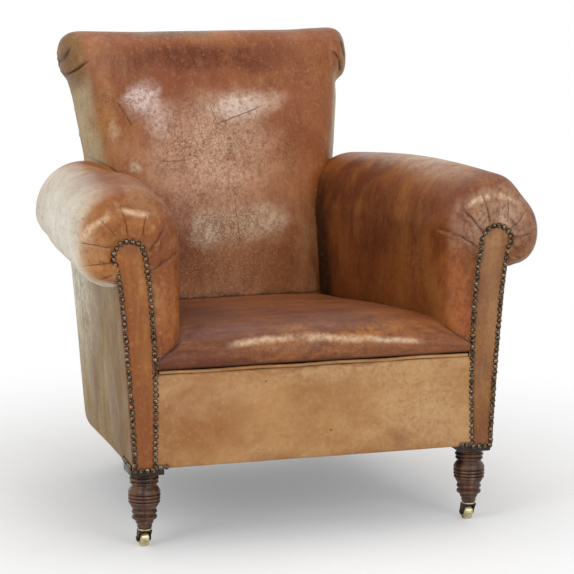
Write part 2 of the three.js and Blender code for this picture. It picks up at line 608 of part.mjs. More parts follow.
function addFrame() {
  const rail = rearRailPlan();
  const side = sideRailPlan();
  const top = UNDERSIDE + RAIL_HEIGHT;
  const blockInside = LEG_X - LEG_BLOCK / 2 - FIT;
  addPair('front_leg', turnedLeg(), 'turnedWood');
  addPair('rear_leg', rearLeg(), 'turnedWood');
  add('front_rail', block(-blockInside, blockInside, BORDER_THICK + FIT, BORDER_THICK + FIT + RAIL_THICK,
    UNDERSIDE, top), 'frameWood');
  const railHalf = side.outerX(rail.rear) - 1;
  add('rear_rail', block(-railHalf, railHalf, rail.front, rail.rear, UNDERSIDE, top), 'frameWood');
  addPair('side_rail', cutBy(slab([...side.outer, ...side.inner], UNDERSIDE, top), [armPanel(9, FIT)]), 'frameWood');

  const slatInner = (y) => armInside(y) + 36;
  const slatEnds = [side.start, side.end - 20];
  const slat = [[slatInner(slatEnds[0]), slatEnds[0]], [side.outerX(slatEnds[0]) - 4, slatEnds[0]],
    [side.outerX(slatEnds[1]) - 4, slatEnds[1]], [slatInner(slatEnds[1]), slatEnds[1]]];
  addPair('arm_slat', slab(slat, top + FIT, ARM_PAD_BOTTOM - FIT), 'frameWood');

  addPair('arm_post', plate(keyhole(-POST_MARGIN, top + FIT), 0, ARM_POST_DEPTH), 'frameWood');
  addPair('arm_rail', cutBy(armRail(0), [fromBack(upright(FIT))]), 'frameWood');

  const cornerLeg = 62;
  const cornerX = side.inner[0][0] - FIT;
  const cornerY = side.end;
  addPair('corner_block', slab([[cornerX, cornerY], [cornerX - cornerLeg, cornerY],
    [cornerX + (side.inner[1][0] - side.inner[0][0]) * cornerLeg / (side.end - side.start),
      cornerY - cornerLeg]], UNDERSIDE + 12, top - 8), 'frameWood');

  addPair('back_upright', cutBy(upright(0), [toBack(block(-400, 400, 400, 800, 0, top + FIT))]),
    'frameWood', back);
  const bay = (up) => uprightSide(up) - UPRIGHT_WIDTH - FIT;
  const crossRail = (up, height, deep) => {
    const outline = [[-bay(up), up], [bay(up), up], [bay(up + height), up + height],
      [-bay(up + height), up + height]].map(([x, z]) => new THREE.Vector2(x, z));
    return plate(new THREE.Shape(outline), UPRIGHT_SET_BACK + 4, UPRIGHT_SET_BACK + 4 + deep);
  };
  add('back_top_rail', crossRail(BACK_ROLL_UP - 128, 56, 26), 'frameWood', back);
  add('back_lower_rail', crossRail(34, 40, 24), 'frameWood', back);
}

function strapLattice(lengthwise, crosswise) {
  return joined([...lengthwise, ...crosswise]);
}

function addSpringing() {
  const rail = rearRailPlan();
  const side = sideRailPlan();
  const webTop = UNDERSIDE - FIT;
  const half = WEB_WIDTH / 2;
  const lengthwise = [-2, -1, 0, 1, 2].map((i) => {
    const x = i * SPRING_COLUMNS.at(-1) / 2;
    return block(x - half, x + half, BORDER_THICK + 6, rail.rear - 10, webTop - WEB_THICK, webTop);
  });
  const rowGap = (SPRING_ROWS[1] - SPRING_ROWS[0]) / 2;
  const crosswise = [0, 1, 2, 3, 4].map((i) => {
    const y = SPRING_ROWS[0] + i * rowGap;
    const reach = side.outerX(y + half) - 8;
    return block(-reach, reach, y - half, y + half, webTop - WEB_THICK, webTop);
  });
  add('seat_webbing', strapLattice(lengthwise, crosswise), 'webbing');
  SPRING_ROWS.forEach((y, row) => SPRING_COLUMNS.forEach((x, column) => {
    add(`seat_spring_${row * SPRING_COLUMNS.length + column + 1}`, spring().translate(x, y, 0), 'springSteel');
  }));
  const front = BORDER_THICK + FIT + 4;
  const rear = SEAT_DEPTH - 30;
  const coverHigh = SEAT_BASE - FIT;
  add('spring_cover', slab([[-armInside(0) + 6, front], [armInside(0) - 6, front],
    [armInside(rear) - 4, rear], [-armInside(rear) + 4, rear]], coverHigh - COVER_THICK, coverHigh), 'webbing');

  const backWeb = (up) => uprightSide(up) - 6;
  const webFace = UPRIGHT_SET_BACK - FIT;
  const crossStraps = [105, 195, 300, 390].map((up) => {
    const reach = backWeb(up - half);
    return block(-reach, reach, webFace - WEB_THICK, webFace, up - half, up + half);
  });
  const lowest = 40;
  const upStraps = [-90, 0, 90].map((x) => (
    block(x - half, x + half, webFace - WEB_THICK, webFace, lowest, BACK_ROLL_UP - 75)));
  add('back_webbing', strapLattice(upStraps, crossStraps), 'webbing', back);

  const clothHigh = webTop - WEB_THICK - FIT;
  const edge = (y) => side.outerX(y) - 2;
  const clothEnd = rail.rear - REAR_LEG_TOP - 2;
  const notchX = LEG_X - LEG_BLOCK / 2 - 1;
  const notchY = LEG_Y + LEG_BLOCK / 2 + 1;
  const plan = [[notchX, BORDER_THICK + 1], [notchX, notchY], [edge(notchY), notchY],
    [edge(clothEnd), clothEnd]];
  const outline = [...plan, ...plan.toReversed().map(([x, y]) => [-x, y])];
  add('dust_cover', slab(outline, clothHigh - 1, clothHigh), 'blackCloth');
}

function addUpholstery() {
  const slabCutter = fromBack(backSlab(SOFT_FIT));
  add('seat_pad', cutBy(seatPad(0), [slabCutter]), 'sittingLeather');
  const borderHalf = FACING_FOOT_X - FACING_FOOT_HALF;
  const borderTop = SEAM_HEIGHT - WELT_RADIUS - FIT;
  const blockRoom = block(LEG_X - LEG_BLOCK / 2 - FIT, LEG_X, LEG_Y - LEG_BLOCK / 2 - FIT, LEG_Y,
    0, UNDERSIDE + RAIL_HEIGHT + FIT);
  add('front_border', cutBy(block(-borderHalf, borderHalf, 0, BORDER_THICK, PANEL_BOTTOM, borderTop),
    [blockRoom, mirrored(blockRoom)]), 'borderLeather');
  const weltHalf = borderHalf - FACING_MARGIN - FACING_BOW;
  add('seat_welt', rod(WELT_RADIUS, 2 * weltHalf, 10).rotateY(Math.PI / 2).translate(0, 1, SEAM_HEIGHT), 'welt');

  const postHole = plate(keyhole(FIT - POST_MARGIN, ARM_PAD_BOTTOM - 5), -1, ARM_POST_DEPTH + FIT);
  const borderRoom = block(0, borderHalf + FIT, -1, BORDER_THICK + FIT, UNDERSIDE, SEAM_HEIGHT + WELT_RADIUS + FIT);
  const seatRoom = seatPad(SOFT_FIT);
  const behindBack = fromBack(block(-400, 400, BACK_THICK, BACK_THICK + 90, -200, 400));
  addPair('arm_pad', cutBy(armPad(), [postHole, behindBack, armRail(FIT), slabCutter, seatRoom, mirrored(seatRoom),
    borderRoom, fromBack(upright(FIT))]), 'sittingLeather');
  addPair('arm_facing', plate(keyhole(FACING_MARGIN), -FIT - FACING_THICK, -FIT), 'sittingLeather');

  const legRoom = block(0, LEG_X + LEG_BLOCK / 2 + FIT, LEG_Y - LEG_BLOCK / 2 - FIT, LEG_Y + LEG_BLOCK / 2 + FIT,
    0, UNDERSIDE + RAIL_HEIGHT + FIT);
  const ledgeTop = ARM_PANEL_TOP - PANEL_THICK;
  const ledgeRear = panelRear(ledgeTop);
  const ledge = slab([[uprightSide(0), ARM_REAR - 20], [outsideX(ARM_REAR - 20, ledgeTop) - 1, ARM_REAR - 20],
    [outsideX(ledgeRear - 1, ledgeTop) - 1, ledgeRear - 1], [uprightSide(0), ledgeRear - 1]],
  ledgeTop - PANEL_THICK, ledgeTop);
  addPair('outside_arm', cutBy(joined([armPanel(0, 0), ledge]), [rollClearance(), legRoom, postHole, slabCutter]),
    'outsideLeather');

  const high = BACK_ROLL_UP - BACK_ROLL_RADIUS - 6;
  const depths = [BACK_STUFFING, BACK_THICK + 20];
  const hollow = loft(depths.map((depth) => {
    const wide = (up) => backSide(up, depth) - BACK_SIDE_WALL + FIT;
    return [[-wide(-20), -20], [wide(-20), -20], [wide(high), high], [-wide(high), high]]
      .map(([x, up]) => new THREE.Vector2(x, up));
  }), (p, k) => new THREE.Vector3(p.x, depths[k], p.y));
  const armRails = [armRail(FIT), mirrored(armRail(FIT))].map(toBack);
  add('back_pad', cutBy(joined([backSlab(0), backRoll(0)]), [hollow, ...armRails]), 'sittingLeather', back);

  const panelLow = (PANEL_BOTTOM - BACK_FOOT.z + BACK_THICK * Math.sin(RAKE)) / Math.cos(RAKE);
  const panelHigh = BACK_ROLL_UP - 20;
  const armTop = 330;
  const sideAt = (up) => Math.max(backHalf(up) + BACK_FLARE, panelRearX - (up > armTop ? 16 : 0));
  const sides = [panelLow, 200, armTop, armTop + 60, panelHigh].map((up) => [sideAt(up) - 1, up]);
  const outline = [...sides, ...sides.toReversed().map(([x, up]) => [-x, up])];
  const outsideBack = plate(new THREE.Shape(outline.map(([x, z]) => new THREE.Vector2(x, z))),
    BACK_THICK + FIT, BACK_THICK + FIT + BACK_PANEL_THICK);
  add('outside_back', cutBy(outsideBack, [backRoll(FIT)]), 'outsideLeather', back);
}

addFrame();
addSpringing();
addUpholstery();
caster('right', 1);
caster('left', -1);

chair.updateMatrixWorld(true);
const reach = new THREE.Box3().setFromObject(chair, true);
chair.position.y = -(reach.min.y + reach.max.y) / 2;

export default chair;
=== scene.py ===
import json
import math

import bmesh
import bpy
import numpy as np
from mathutils import Matrix, Vector

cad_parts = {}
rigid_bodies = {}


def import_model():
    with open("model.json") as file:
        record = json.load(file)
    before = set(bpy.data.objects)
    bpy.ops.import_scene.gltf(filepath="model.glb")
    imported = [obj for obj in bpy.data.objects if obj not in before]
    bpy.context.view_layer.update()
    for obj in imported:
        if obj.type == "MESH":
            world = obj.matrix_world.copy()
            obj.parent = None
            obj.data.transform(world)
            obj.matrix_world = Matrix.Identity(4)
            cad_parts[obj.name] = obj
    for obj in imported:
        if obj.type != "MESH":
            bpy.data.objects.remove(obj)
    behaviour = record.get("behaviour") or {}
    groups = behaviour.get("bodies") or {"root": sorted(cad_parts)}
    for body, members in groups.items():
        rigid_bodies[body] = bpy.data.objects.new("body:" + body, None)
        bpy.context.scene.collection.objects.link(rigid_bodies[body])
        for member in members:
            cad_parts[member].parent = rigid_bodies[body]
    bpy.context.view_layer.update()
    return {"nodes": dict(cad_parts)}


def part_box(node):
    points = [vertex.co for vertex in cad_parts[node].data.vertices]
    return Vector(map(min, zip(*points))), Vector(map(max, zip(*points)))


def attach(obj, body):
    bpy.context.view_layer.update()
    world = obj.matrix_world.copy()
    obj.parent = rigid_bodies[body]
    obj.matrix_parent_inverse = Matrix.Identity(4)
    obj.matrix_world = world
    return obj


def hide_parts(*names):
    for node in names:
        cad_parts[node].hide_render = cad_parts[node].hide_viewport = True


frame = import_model()

# Camera: eye height and lens of the photograph, from the chair's left front, looking a little down.
# Measures are in mm from the plane of the arm facings, which lies at FRONT along Y.
MM = 0.001
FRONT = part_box("arm_post_right")[0][1]
EYE = (-1147.6, -3585.2, 1085.6)
EYE_TURN, EYE_DIP = math.radians(-16.958), math.radians(9.567)
LENS, SENSOR = 137.98, 36


def spot(x, y, z):
    """A place given in mm: across, behind the facings, above the floor."""
    return Vector((x * MM, FRONT + y * MM, z * MM))


bpy.ops.object.select_all(action="DESELECT")
bpy.ops.object.camera_add(location=spot(*EYE), rotation=(math.pi / 2 - EYE_DIP, 0, EYE_TURN))
camera = bpy.context.object
camera.name = "view_camera"
camera.data.lens = LENS
camera.data.sensor_width = SENSOR
bpy.context.scene.camera = camera
bpy.context.scene.view_settings.view_transform = "Standard"


# Seat: a hide stretched over springs and stuffing, crowned, sat down towards the back, and rolled
# over the front edge to the seam above the border. Like every soft cover it starts as a flat grid
# and is drawn over its stuffing in code; like the arm covers and the back, it is pushed out by a
# cloth simulation held at its seams.
SEAT_LINE = [(4, 318.5), (-3, 320.5), (-7.4, 325.5), (-9.2, 332), (-9.4, 339), (-7.8, 347),
             (-4, 355), (2, 362), (10, 368.5), (22, 375.5), (36, 381), (54, 385), (75, 387.4),
             (110, 387), (160, 384), (230, 377.5), (300, 370), (380, 360.5), (450, 353), (520, 346),
             (562, 338)]
NOSE_HALF, NOSE_CORNER = 284.5, 33
CROWN_DROP, SIDE_TUCK, REAR_TUCK = 32, 9, 8
HIDE = 2.4
CLOTH_FRAMES = 16


def smoothstep(value, low, high):
    t = np.clip((value - low) / (high - low), 0, 1)
    return t * t * (3 - 2 * t)


def arm_inside(y):
    """Inner face of an arm: the arms come closer together towards the back."""
    return 243.6 - 0.094 * y


def seat_shape(u, v):
    """u goes across and v along SEAT_LINE, from the seam over the nose to under the back."""
    path = np.array(SEAT_LINE, float)
    run = np.concatenate([[0], np.cumsum(np.linalg.norm(np.diff(path, axis=0), axis=1))])
    run /= run[-1]
    fine = np.linspace(0, 1, 400)
    padded = [np.pad(np.interp(fine, run, line), 6, "edge") for line in path.T]
    y, z = (np.interp(v, fine, np.convolve(line, np.ones(13) / 13, "valid")) for line in padded)
    turn = np.clip(y / NOSE_CORNER, 0, 1)
    inset = NOSE_CORNER * (1 - np.sqrt(np.clip(1 - (1 - turn) ** 2, 0, 1)))
    between = np.minimum(NOSE_HALF, arm_inside(np.maximum(y, 0)) + inset + 4)
    half = np.where(y < 0.5, NOSE_HALF, between)
    across = 2 * u - 1
    x = half * across
    top = smoothstep(z, 322, 362)
    z = z - top * CROWN_DROP * (np.abs(x) / 286) ** 4 * (0.4 + 0.6 * smoothstep(y, 20, 130))
    near_side = half - np.abs(x)
    z = z - smoothstep(14 - near_side, 0, 16) * SIDE_TUCK * smoothstep(y, 40, 110)
    z = z - smoothstep(y, 528, 562) * REAR_TUCK
    z = z + 1.6 * np.sin(x / 61 + 0.4) * np.sin(y / 83 + 1) * top * smoothstep(near_side, 5, 70)
    return x, y, z


def places(piece):
    points = np.empty(len(piece.data.vertices) * 3)
    piece.data.vertices.foreach_get("co", points)
    return points.reshape(-1, 3)


def directions(piece):
    normals = np.empty(len(piece.data.vertices) * 3)
    piece.data.vertices.foreach_get("normal", normals)
    return normals.reshape(-1, 3)


def values_of(piece, label):
    values = np.empty(len(piece.data.vertices))
    piece.data.attributes[label].data.foreach_get("value", values)
    return values


def mark(piece, label, values):
    """Writes one value for each point of the piece, for its material to read."""
    layer = piece.data.attributes.new(label, "FLOAT", "POINT")
    layer.data.foreach_set("value", values)


def cover(name, across, along, shape, core=None):
    """A grid whose points go where shape(u, v) says, u and v from 0 to 1, in mm. Its faces are
    turned away from its core, the middle of the stuffing."""
    bpy.ops.object.select_all(action="DESELECT")
    bpy.ops.mesh.primitive_grid_add(x_subdivisions=across, y_subdivisions=along, size=2)
    piece = bpy.context.object
    piece.name = piece.data.name = name
    count = len(piece.data.vertices)
    flat = np.empty(count * 3)
    piece.data.vertices.foreach_get("co", flat)
    flat = flat.reshape(-1, 3)
    u, v = (flat[:, 0] + 1) / 2, (flat[:, 1] + 1) / 2
    x, y, z = shape(u, v)
    points = np.stack([x * MM, FRONT + y * MM, z * MM], 1)
    piece.data.vertices.foreach_set("co", points.ravel())
    for label, values in (("across", u), ("along", v), ("fold", np.zeros(count))):
        mark(piece, label, values)
    piece.data.update()
    if core:
        middle = core(points) if callable(core) else np.array(spot(*core))
        if (directions(piece) * (points - middle)).sum() < 0:
            piece.data.flip_normals()
    return piece


def puff(piece, held, pressure, cap):
    """Cloth simulation: leather fixed where held is 1, pushed out by stuffing, cap mm at most."""
    before = places(piece)
    group = piece.vertex_groups.new(name="held")
    for index in np.nonzero(held > 0.01)[0]:
        group.add([int(index)], float(held[index]), "REPLACE")
    cloth = piece.modifiers.new("stuffing", "CLOTH")
    sheet = cloth.settings
    sheet.quality = 3
    sheet.mass = 0.4
    sheet.tension_stiffness = sheet.compression_stiffness = 25
    sheet.shear_stiffness = 12
    sheet.bending_stiffness = 1.5
    sheet.vertex_group_mass = "held"
    sheet.use_pressure = True
    sheet.uniform_pressure_force = pressure
    sheet.effector_weights.gravity = 0
    sheet.shrink_min = -0.006
    cloth.point_cache.frame_start = 1
    cloth.point_cache.frame_end = CLOTH_FRAMES
    scene = bpy.context.scene
    for step in range(1, CLOTH_FRAMES + 1):
        scene.frame_set(step)
    shaped = piece.evaluated_get(bpy.context.evaluated_depsgraph_get()).to_mesh()
    after = np.empty(len(shaped.vertices) * 3)
    shaped.vertices.foreach_get("co", after)
    move = after.reshape(-1, 3) - before
    far = np.linalg.norm(move, axis=1, keepdims=True)
    move *= np.minimum(1, cap * MM / np.maximum(far, 1e-9))
    ends = np.empty(len(piece.data.edges) * 2, int)
    piece.data.edges.foreach_get("vertices", ends)
    ends = ends.reshape(-1, 2)
    met = np.bincount(ends.ravel(), minlength=len(move))[:, None]
    for _ in range(5):
        total = np.zeros_like(move)
        np.add.at(total, ends[:, 0], move[ends[:, 1]])
        np.add.at(total, ends[:, 1], move[ends[:, 0]])
        move = 0.4 * move + 0.6 * total / np.maximum(met, 1)
    piece.modifiers.remove(cloth)
    scene.frame_set(1)
    piece.data.vertices.foreach_set("co", (before + move).ravel())
    piece.vertex_groups.clear()
    piece.data.update()


def pick(piece):
    bpy.ops.object.select_all(action="DESELECT")
    piece.select_set(True)
    bpy.context.view_layer.objects.active = piece


def shaped_by(piece, kind, **settings):
    """Applies a modifier to the picked piece."""
    modifier = piece.modifiers.new(kind.lower(), kind)
    for key, value in settings.items():
        setattr(modifier, key, value)
    bpy.ops.object.modifier_apply(modifier=modifier.name)


def thicken(piece, smooth=1):
    """Gives the hide its thickness, inwards, and smooths it."""
    pick(piece)
    shaped_by(piece, "SOLIDIFY", thickness=HIDE * MM, offset=-1)
    if smooth:
        shaped_by(piece, "SUBSURF", levels=smooth, render_levels=smooth)
    bpy.ops.object.shade_smooth()


seat = cover("seat_cushion", 150, 150, seat_shape, (0, 275, 200))
seat_u, seat_v = values_of(seat, "across"), values_of(seat, "along")
from_edge = np.minimum(np.minimum(seat_u, 1 - seat_u), np.minimum(seat_v, 1 - seat_v))
puff(seat, np.clip(1 - from_edge / 0.02, 0, 1), 3, 2.5)
# painted shade under the seat's nose, along the seam above the border
seat.data.attributes["fold"].data.foreach_set("value", 0.85 * (1 - smoothstep(seat_v, 0.006, 0.02)))
thicken(seat, smooth=0)


def tone(red, green, blue, haze=(0.0, 0.0, 0.0)):
    """A colour of a paint chart, 0 to 255, as the shader takes it, less the haze its gloss adds."""
    linear = (((c / 255 + 0.055) / 1.055) ** 2.4 if c > 10 else c / 255 / 12.92
              for c in (red, green, blue))
    return tuple(max(value - less, value * 0.6) for value, less in zip(linear, haze)) + (1,)


def dye(red, green, blue):
    """A colour of the waxed hide as the eye sees it, less the grey of its gloss."""
    return tone(red, green, blue, (0.018, 0.018, 0.036))


class Finish:
    """A procedural material, put together node by node on Object coordinates."""

    def __init__(self, name):
        self.material = bpy.data.materials.new(name)
        self.material.use_nodes = True
        self.tree = self.material.node_tree
        self.shader = self.tree.nodes["Principled BSDF"]
        self.place = self.tree.nodes.new("ShaderNodeTexCoord").outputs["Object"]
        self.relief = None
        self.loose = self.unsteady = self.place

    def wander(self, scale, reach):
        """Object coordinates shaken by noise, so that a patch laid on them has no drawn edge."""
        shift = self.node("TexNoise", {"Vector": self.place, "Scale": scale, "Detail": 4.0,
                                       "Roughness": 0.62}, "Color")
        shift = self.node("VectorMath", {0: shift, 1: (0.5, 0.5, 0.5)}, operation="SUBTRACT")
        shift = self.node("VectorMath", {0: shift, "Scale": reach}, operation="SCALE")
        return self.node("VectorMath", {0: self.place, 1: shift}, operation="ADD")

    def node(self, kind, inputs, out=0, **settings):
        made = self.tree.nodes.new("ShaderNode" + kind)
        for key, value in settings.items():
            setattr(made, key, value)
        for key, value in inputs.items():
            socket = made.inputs[key]
            if isinstance(value, bpy.types.NodeSocket):
                self.tree.links.new(value, socket)
            else:
                socket.default_value = value
        return made.outputs[out]

    def maths(self, kind, a, b=0.0):
        return self.node("Math", {0: a, 1: b}, operation=kind)

    def stretched(self, stretch):
        return self.node("Mapping", {"Vector": self.place, "Scale": stretch})

    def noise(self, scale, detail=3.0, rough=0.55, stretch=None, warp=0.0):
        where = self.stretched(stretch) if stretch else self.place
        return self.node("TexNoise", {"Vector": where, "Scale": scale, "Detail": detail,
                                      "Roughness": rough, "Distortion": warp})

    def step(self, value, low, high, out_low=0.0, out_high=1.0):
        return self.node("MapRange", {"Value": value, "From Min": low, "From Max": high,
                                      "To Min": out_low, "To Max": out_high},
                         interpolation_type="SMOOTHSTEP")

    def mixed(self, share, a, b, kind="MIX"):
        return self.node("Mix", {0: share, 6: a, 7: b}, 2, data_type="RGBA", blend_type=kind)

    def near(self, centre, reach, soft=0.0):
        """1 at a place given in mm, falling to 0 at its reach in mm along X, Y and Z."""
        shifted = self.node("VectorMath", {0: self.loose, 1: spot(*centre)}, operation="SUBTRACT")
        shrink = tuple(1 / (r * MM) for r in reach)
        scaled = self.node("VectorMath", {0: shifted, 1: shrink}, operation="MULTIPLY")
        away = self.node("VectorMath", {0: scaled}, 1, operation="LENGTH")
        return self.step(away, soft, 1.0, 1.0, 0.0)

    def stroke(self, start, end, width):
        """1 on the line between two places in mm, seen from the front, 0 at its width."""
        from_front = Vector((1, 0.05, 1))
        a, b = spot(*start) * from_front, spot(*end) * from_front
        along = b - a
        seen = self.node("VectorMath", {0: self.unsteady, 1: from_front}, operation="MULTIPLY")
        rel = self.node("VectorMath", {0: seen, 1: a}, operation="SUBTRACT")
        share = self.node("VectorMath", {0: rel, 1: along / along.length_squared}, 1,
                          operation="DOT_PRODUCT")
        share = self.node("Clamp", {"Value": share})
        foot = self.node("VectorMath", {0: along, "Scale": share}, operation="SCALE")
        across = self.node("VectorMath", {0: rel, 1: foot}, operation="SUBTRACT")
        away = self.node("VectorMath", {0: across}, 1, operation="LENGTH")
        from_middle = self.maths("ABSOLUTE", self.maths("SUBTRACT", share, 0.5))
        ends = self.step(from_middle, 0.3, 0.52, 1.0, 0.15)
        return self.maths("MULTIPLY", self.step(away, 0.0, width * MM, 1.0, 0.0), ends)

    def attribute(self, name):
        return self.node("Attribute", {}, "Fac", attribute_name=name)

    def bump(self, height, strength, depth):
        inputs = {"Height": height, "Strength": strength, "Distance": depth * MM}
        if self.relief:
            inputs["Normal"] = self.relief
        self.relief = self.node("Bump", inputs)

    def done(self, colour, roughness, **sockets):
        values = {"Base Color": colour, "Roughness": roughness, **sockets}
        if self.relief:
            values["Normal"] = self.relief
        for key, value in values.items():
            socket = self.shader.inputs[key]
            if isinstance(value, bpy.types.NodeSocket):
                self.tree.links.new(value, socket)
            else:
                socket.default_value = value
        return self.material


def leather(name, body, deep, light, zones=(), creases=(), gloss=0.4, streak=(1, 1, 0.25),
            crackle=0.5, stain=0.5, painted=(), polish=(), specks=0.0, painted_highlights=()):
    """Worn hide: the same grain, crackle and pores on every cover. In mm, zones are (colour, place,
    reach, strength), some of them painted highlights and painted shade; the creases, painted with
    shade and pressed in by bump, and the painted highlights, pale strokes that stand for light
    along ridges, are (start, end, width); polish is (place, reach, strength). painted are
    (attribute, colour) for what follows a shape, painted shade and painted reflection among them."""
    skin = Finish(name)
    skin.loose = skin.wander(10, 0.085)
    skin.unsteady = skin.wander(26, 0.011)
    dark = tuple(c * 0.2 for c in deep[:3]) + (1,)
    cloud = skin.noise(4.5, 5, 0.62)
    streaks = skin.noise(60, 6, 0.7, streak, 0.25)
    wipes = skin.noise(13, 5, 0.62, streak, 0.4)
    mottle = skin.noise(120, 6, 0.72)
    broken = skin.noise(19, 7, 0.72, None, 0.4)
    colour = skin.mixed(skin.step(cloud, 0.4, 0.62, 0, 0.8), body, deep)
    colour = skin.mixed(skin.step(wipes, 0.45, 0.7, 0, 0.5), colour, light)
    for label, tint in painted:
        share = skin.maths("MULTIPLY", skin.attribute(label), skin.step(broken, 0.2, 0.7, 1.0, 0.7))
        colour = skin.mixed(share, colour, tint)
    for tint, centre, reach, strength in zones:
        patch = skin.near(centre, reach, 0.1)
        patch = skin.maths("MULTIPLY", patch,
                           skin.step(broken, 0.34, 0.58, strength * 0.4, strength))
        patch = skin.maths("MULTIPLY", patch, skin.step(mottle, 0.36, 0.6, 0.5, 1.1))
        colour = skin.mixed(patch, colour, tint)
    colour = skin.mixed(skin.step(streaks, 0.5, 0.7, 0, 0.8 * stain), colour, deep)
    colour = skin.mixed(skin.step(streaks, 0.48, 0.3, 0, 0.4 * stain), colour, light)
    colour = skin.mixed(skin.step(mottle, 0.52, 0.72, 0, 0.4), colour, light)
    colour = skin.mixed(skin.step(mottle, 0.48, 0.28, 0, 0.5), colour, deep)
    bent = skin.wander(48, 0.016)
    cells = skin.node("TexVoronoi", {"Vector": bent, "Scale": 190.0}, feature="DISTANCE_TO_EDGE")
    wide = skin.node("TexVoronoi", {"Vector": bent, "Scale": 92.0}, feature="DISTANCE_TO_EDGE")
    where = skin.step(skin.noise(10, 4), 0.38, 0.62, 0.15, 0.8)
    for centre, reach, strength in [patch for patch in polish if patch[2] > 0]:
        where = skin.maths("MAXIMUM", where, skin.near(centre, reach, 0.3))
    crack = skin.maths("MAXIMUM", skin.step(cells, 0.0, 0.09, 0.6, 0.0),
                       skin.step(wide, 0.0, 0.075, 0.85, 0.0))
    crack = skin.maths("MULTIPLY", crack, skin.maths("MULTIPLY", where, crackle))
    colour = skin.mixed(skin.maths("MULTIPLY", crack, 0.42), colour, dark)
    # painted highlights: pale strokes that stand for light reflected along ridges
    for start, end, width in painted_highlights:
        highlight_stroke = skin.maths("MULTIPLY", skin.stroke(start, end, width),
                           skin.step(mottle, 0.3, 0.6, 0.25, 0.62))
        colour = skin.mixed(highlight_stroke, colour, dye(232, 200, 168))
    if specks:
        speck_at = {"Vector": bent, "Scale": 34.0}
        from_speck = skin.node("TexVoronoi", speck_at, "Distance")
        lot = skin.node("TexVoronoi", speck_at, "Color")
        chance = skin.node("SeparateXYZ", {"Vector": lot}, "X")
        chosen = skin.step(chance, 0.8, 0.82)
        marks = skin.maths("MULTIPLY", skin.step(from_speck, 0.05, 0.11, specks, 0.0), chosen)
        colour = skin.mixed(marks, colour, dark)
    lines = None
    for start, end, width in creases:
        mark = skin.stroke(start, end, width)
        lines = mark if lines is None else skin.maths("MAXIMUM", lines, mark)
    # creases: painted shade along each line, pressed in by the bump below
    if lines is not None:
        lines = skin.maths("MULTIPLY", lines, skin.step(mottle, 0.25, 0.5, 0.5, 1.0))
        colour = skin.mixed(skin.maths("MULTIPLY", lines, 0.8), colour, dark)
        skin.bump(lines, 0.8, -0.8)
    # painted shade from the fold attribute: folds, gathers, pleats and under the seat's nose
    colour = skin.mixed(skin.attribute("fold"), colour, dark)
    pores = skin.node("TexVoronoi", {"Vector": skin.place, "Scale": 640.0})
    skin.bump(broken, 0.3, 3.0)
    skin.bump(crack, 0.8, -0.8)
    skin.bump(pores, 0.14, 0.35)
    skin.bump(mottle, 0.35, 0.9)
    rough = skin.step(skin.noise(14, 4, 0.6), 0.3, 0.7, gloss - 0.07, gloss + 0.12)
    for centre, reach, strength in polish:
        rubbed = skin.maths("MULTIPLY", skin.near(centre, reach, 0.1), strength)
        rough = skin.maths("SUBTRACT", rough, rubbed)
    rough = skin.maths("ADD", rough, skin.maths("MULTIPLY", crack, 0.2))
    return skin.done(colour, rough, **{"Specular IOR Level": 0.28})


def dress(piece, material, body, nodes=()):
    piece.data.materials.clear()
    piece.data.materials.append(material)
    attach(piece, body)
    if nodes:
        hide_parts(*nodes)


seat_leather = leather(
    "seat_leather", dye(130, 80, 50), dye(94, 52, 30), dye(160, 106, 70),
    zones=[
        # painted highlight along the top of the front roll
        (dye(176, 118, 76), (60, 8, 360), (270, 40, 26), 0.8),
        (dye(160, 104, 66), (20, -9, 336), (280, 30, 18), 0.8),
        (dye(84, 46, 26), (-170, 220, 360), (130, 300, 60), 1.1),
        # painted shade under the nose
        (dye(84, 44, 24), (-20, -9, 326), (290, 20, 9), 0.7),
        # painted shade where the seat runs in under the back
        (dye(52, 26, 14), (0, 552, 340), (260, 34, 40), 0.8),
    ],
    # painted shade lines where the seat meets the arms
    creases=[((-240, 8, 368), (-288, -4, 336), 3.0), ((237, 40, 371), (289, -4, 336), 3.0)],
    # painted highlights: pale strokes of light along the front roll
    painted_highlights=[
        ((-160, -6, 358), (-33, -6, 363), 9), ((-33, -6, 363), (90, -6, 356), 10),
        ((77, -6, 357), (195, -6, 345), 8),
    ],
    polish=[((40, 5, 355), (260, 50, 30), 0.1)],
    streak=(0.22, 1, 1), gloss=0.4, stain=0.9)
dress(seat, seat_leather, "chair", ["seat_pad"])


# Front border: a paler, drier panel of hide under the seat, lightly padded, stained and rubbed,
# tucked under the welt at the top and turned under the rail at the bottom.
BORDER_HALF, BORDER_LOW, BORDER_HIGH = 291, 146.5, 313


def border_shape(u, v):
    x = -BORDER_HALF + 2 * BORDER_HALF * u
    z = BORDER_LOW + (BORDER_HIGH - BORDER_LOW) * v
    edge = np.minimum(np.minimum(v, 1 - v) / 0.1, 1)
    y = 2.6 - 5.2 * np.sqrt(np.clip(1 - (1 - edge) ** 2, 0, 1))
    y = y - 1.4 * np.sin(np.pi * u) * np.sin(np.pi * v)
    y = y + 0.5 * np.sin(x / 31) * np.sin(z / 27 + x / 90)
    return x, y, z


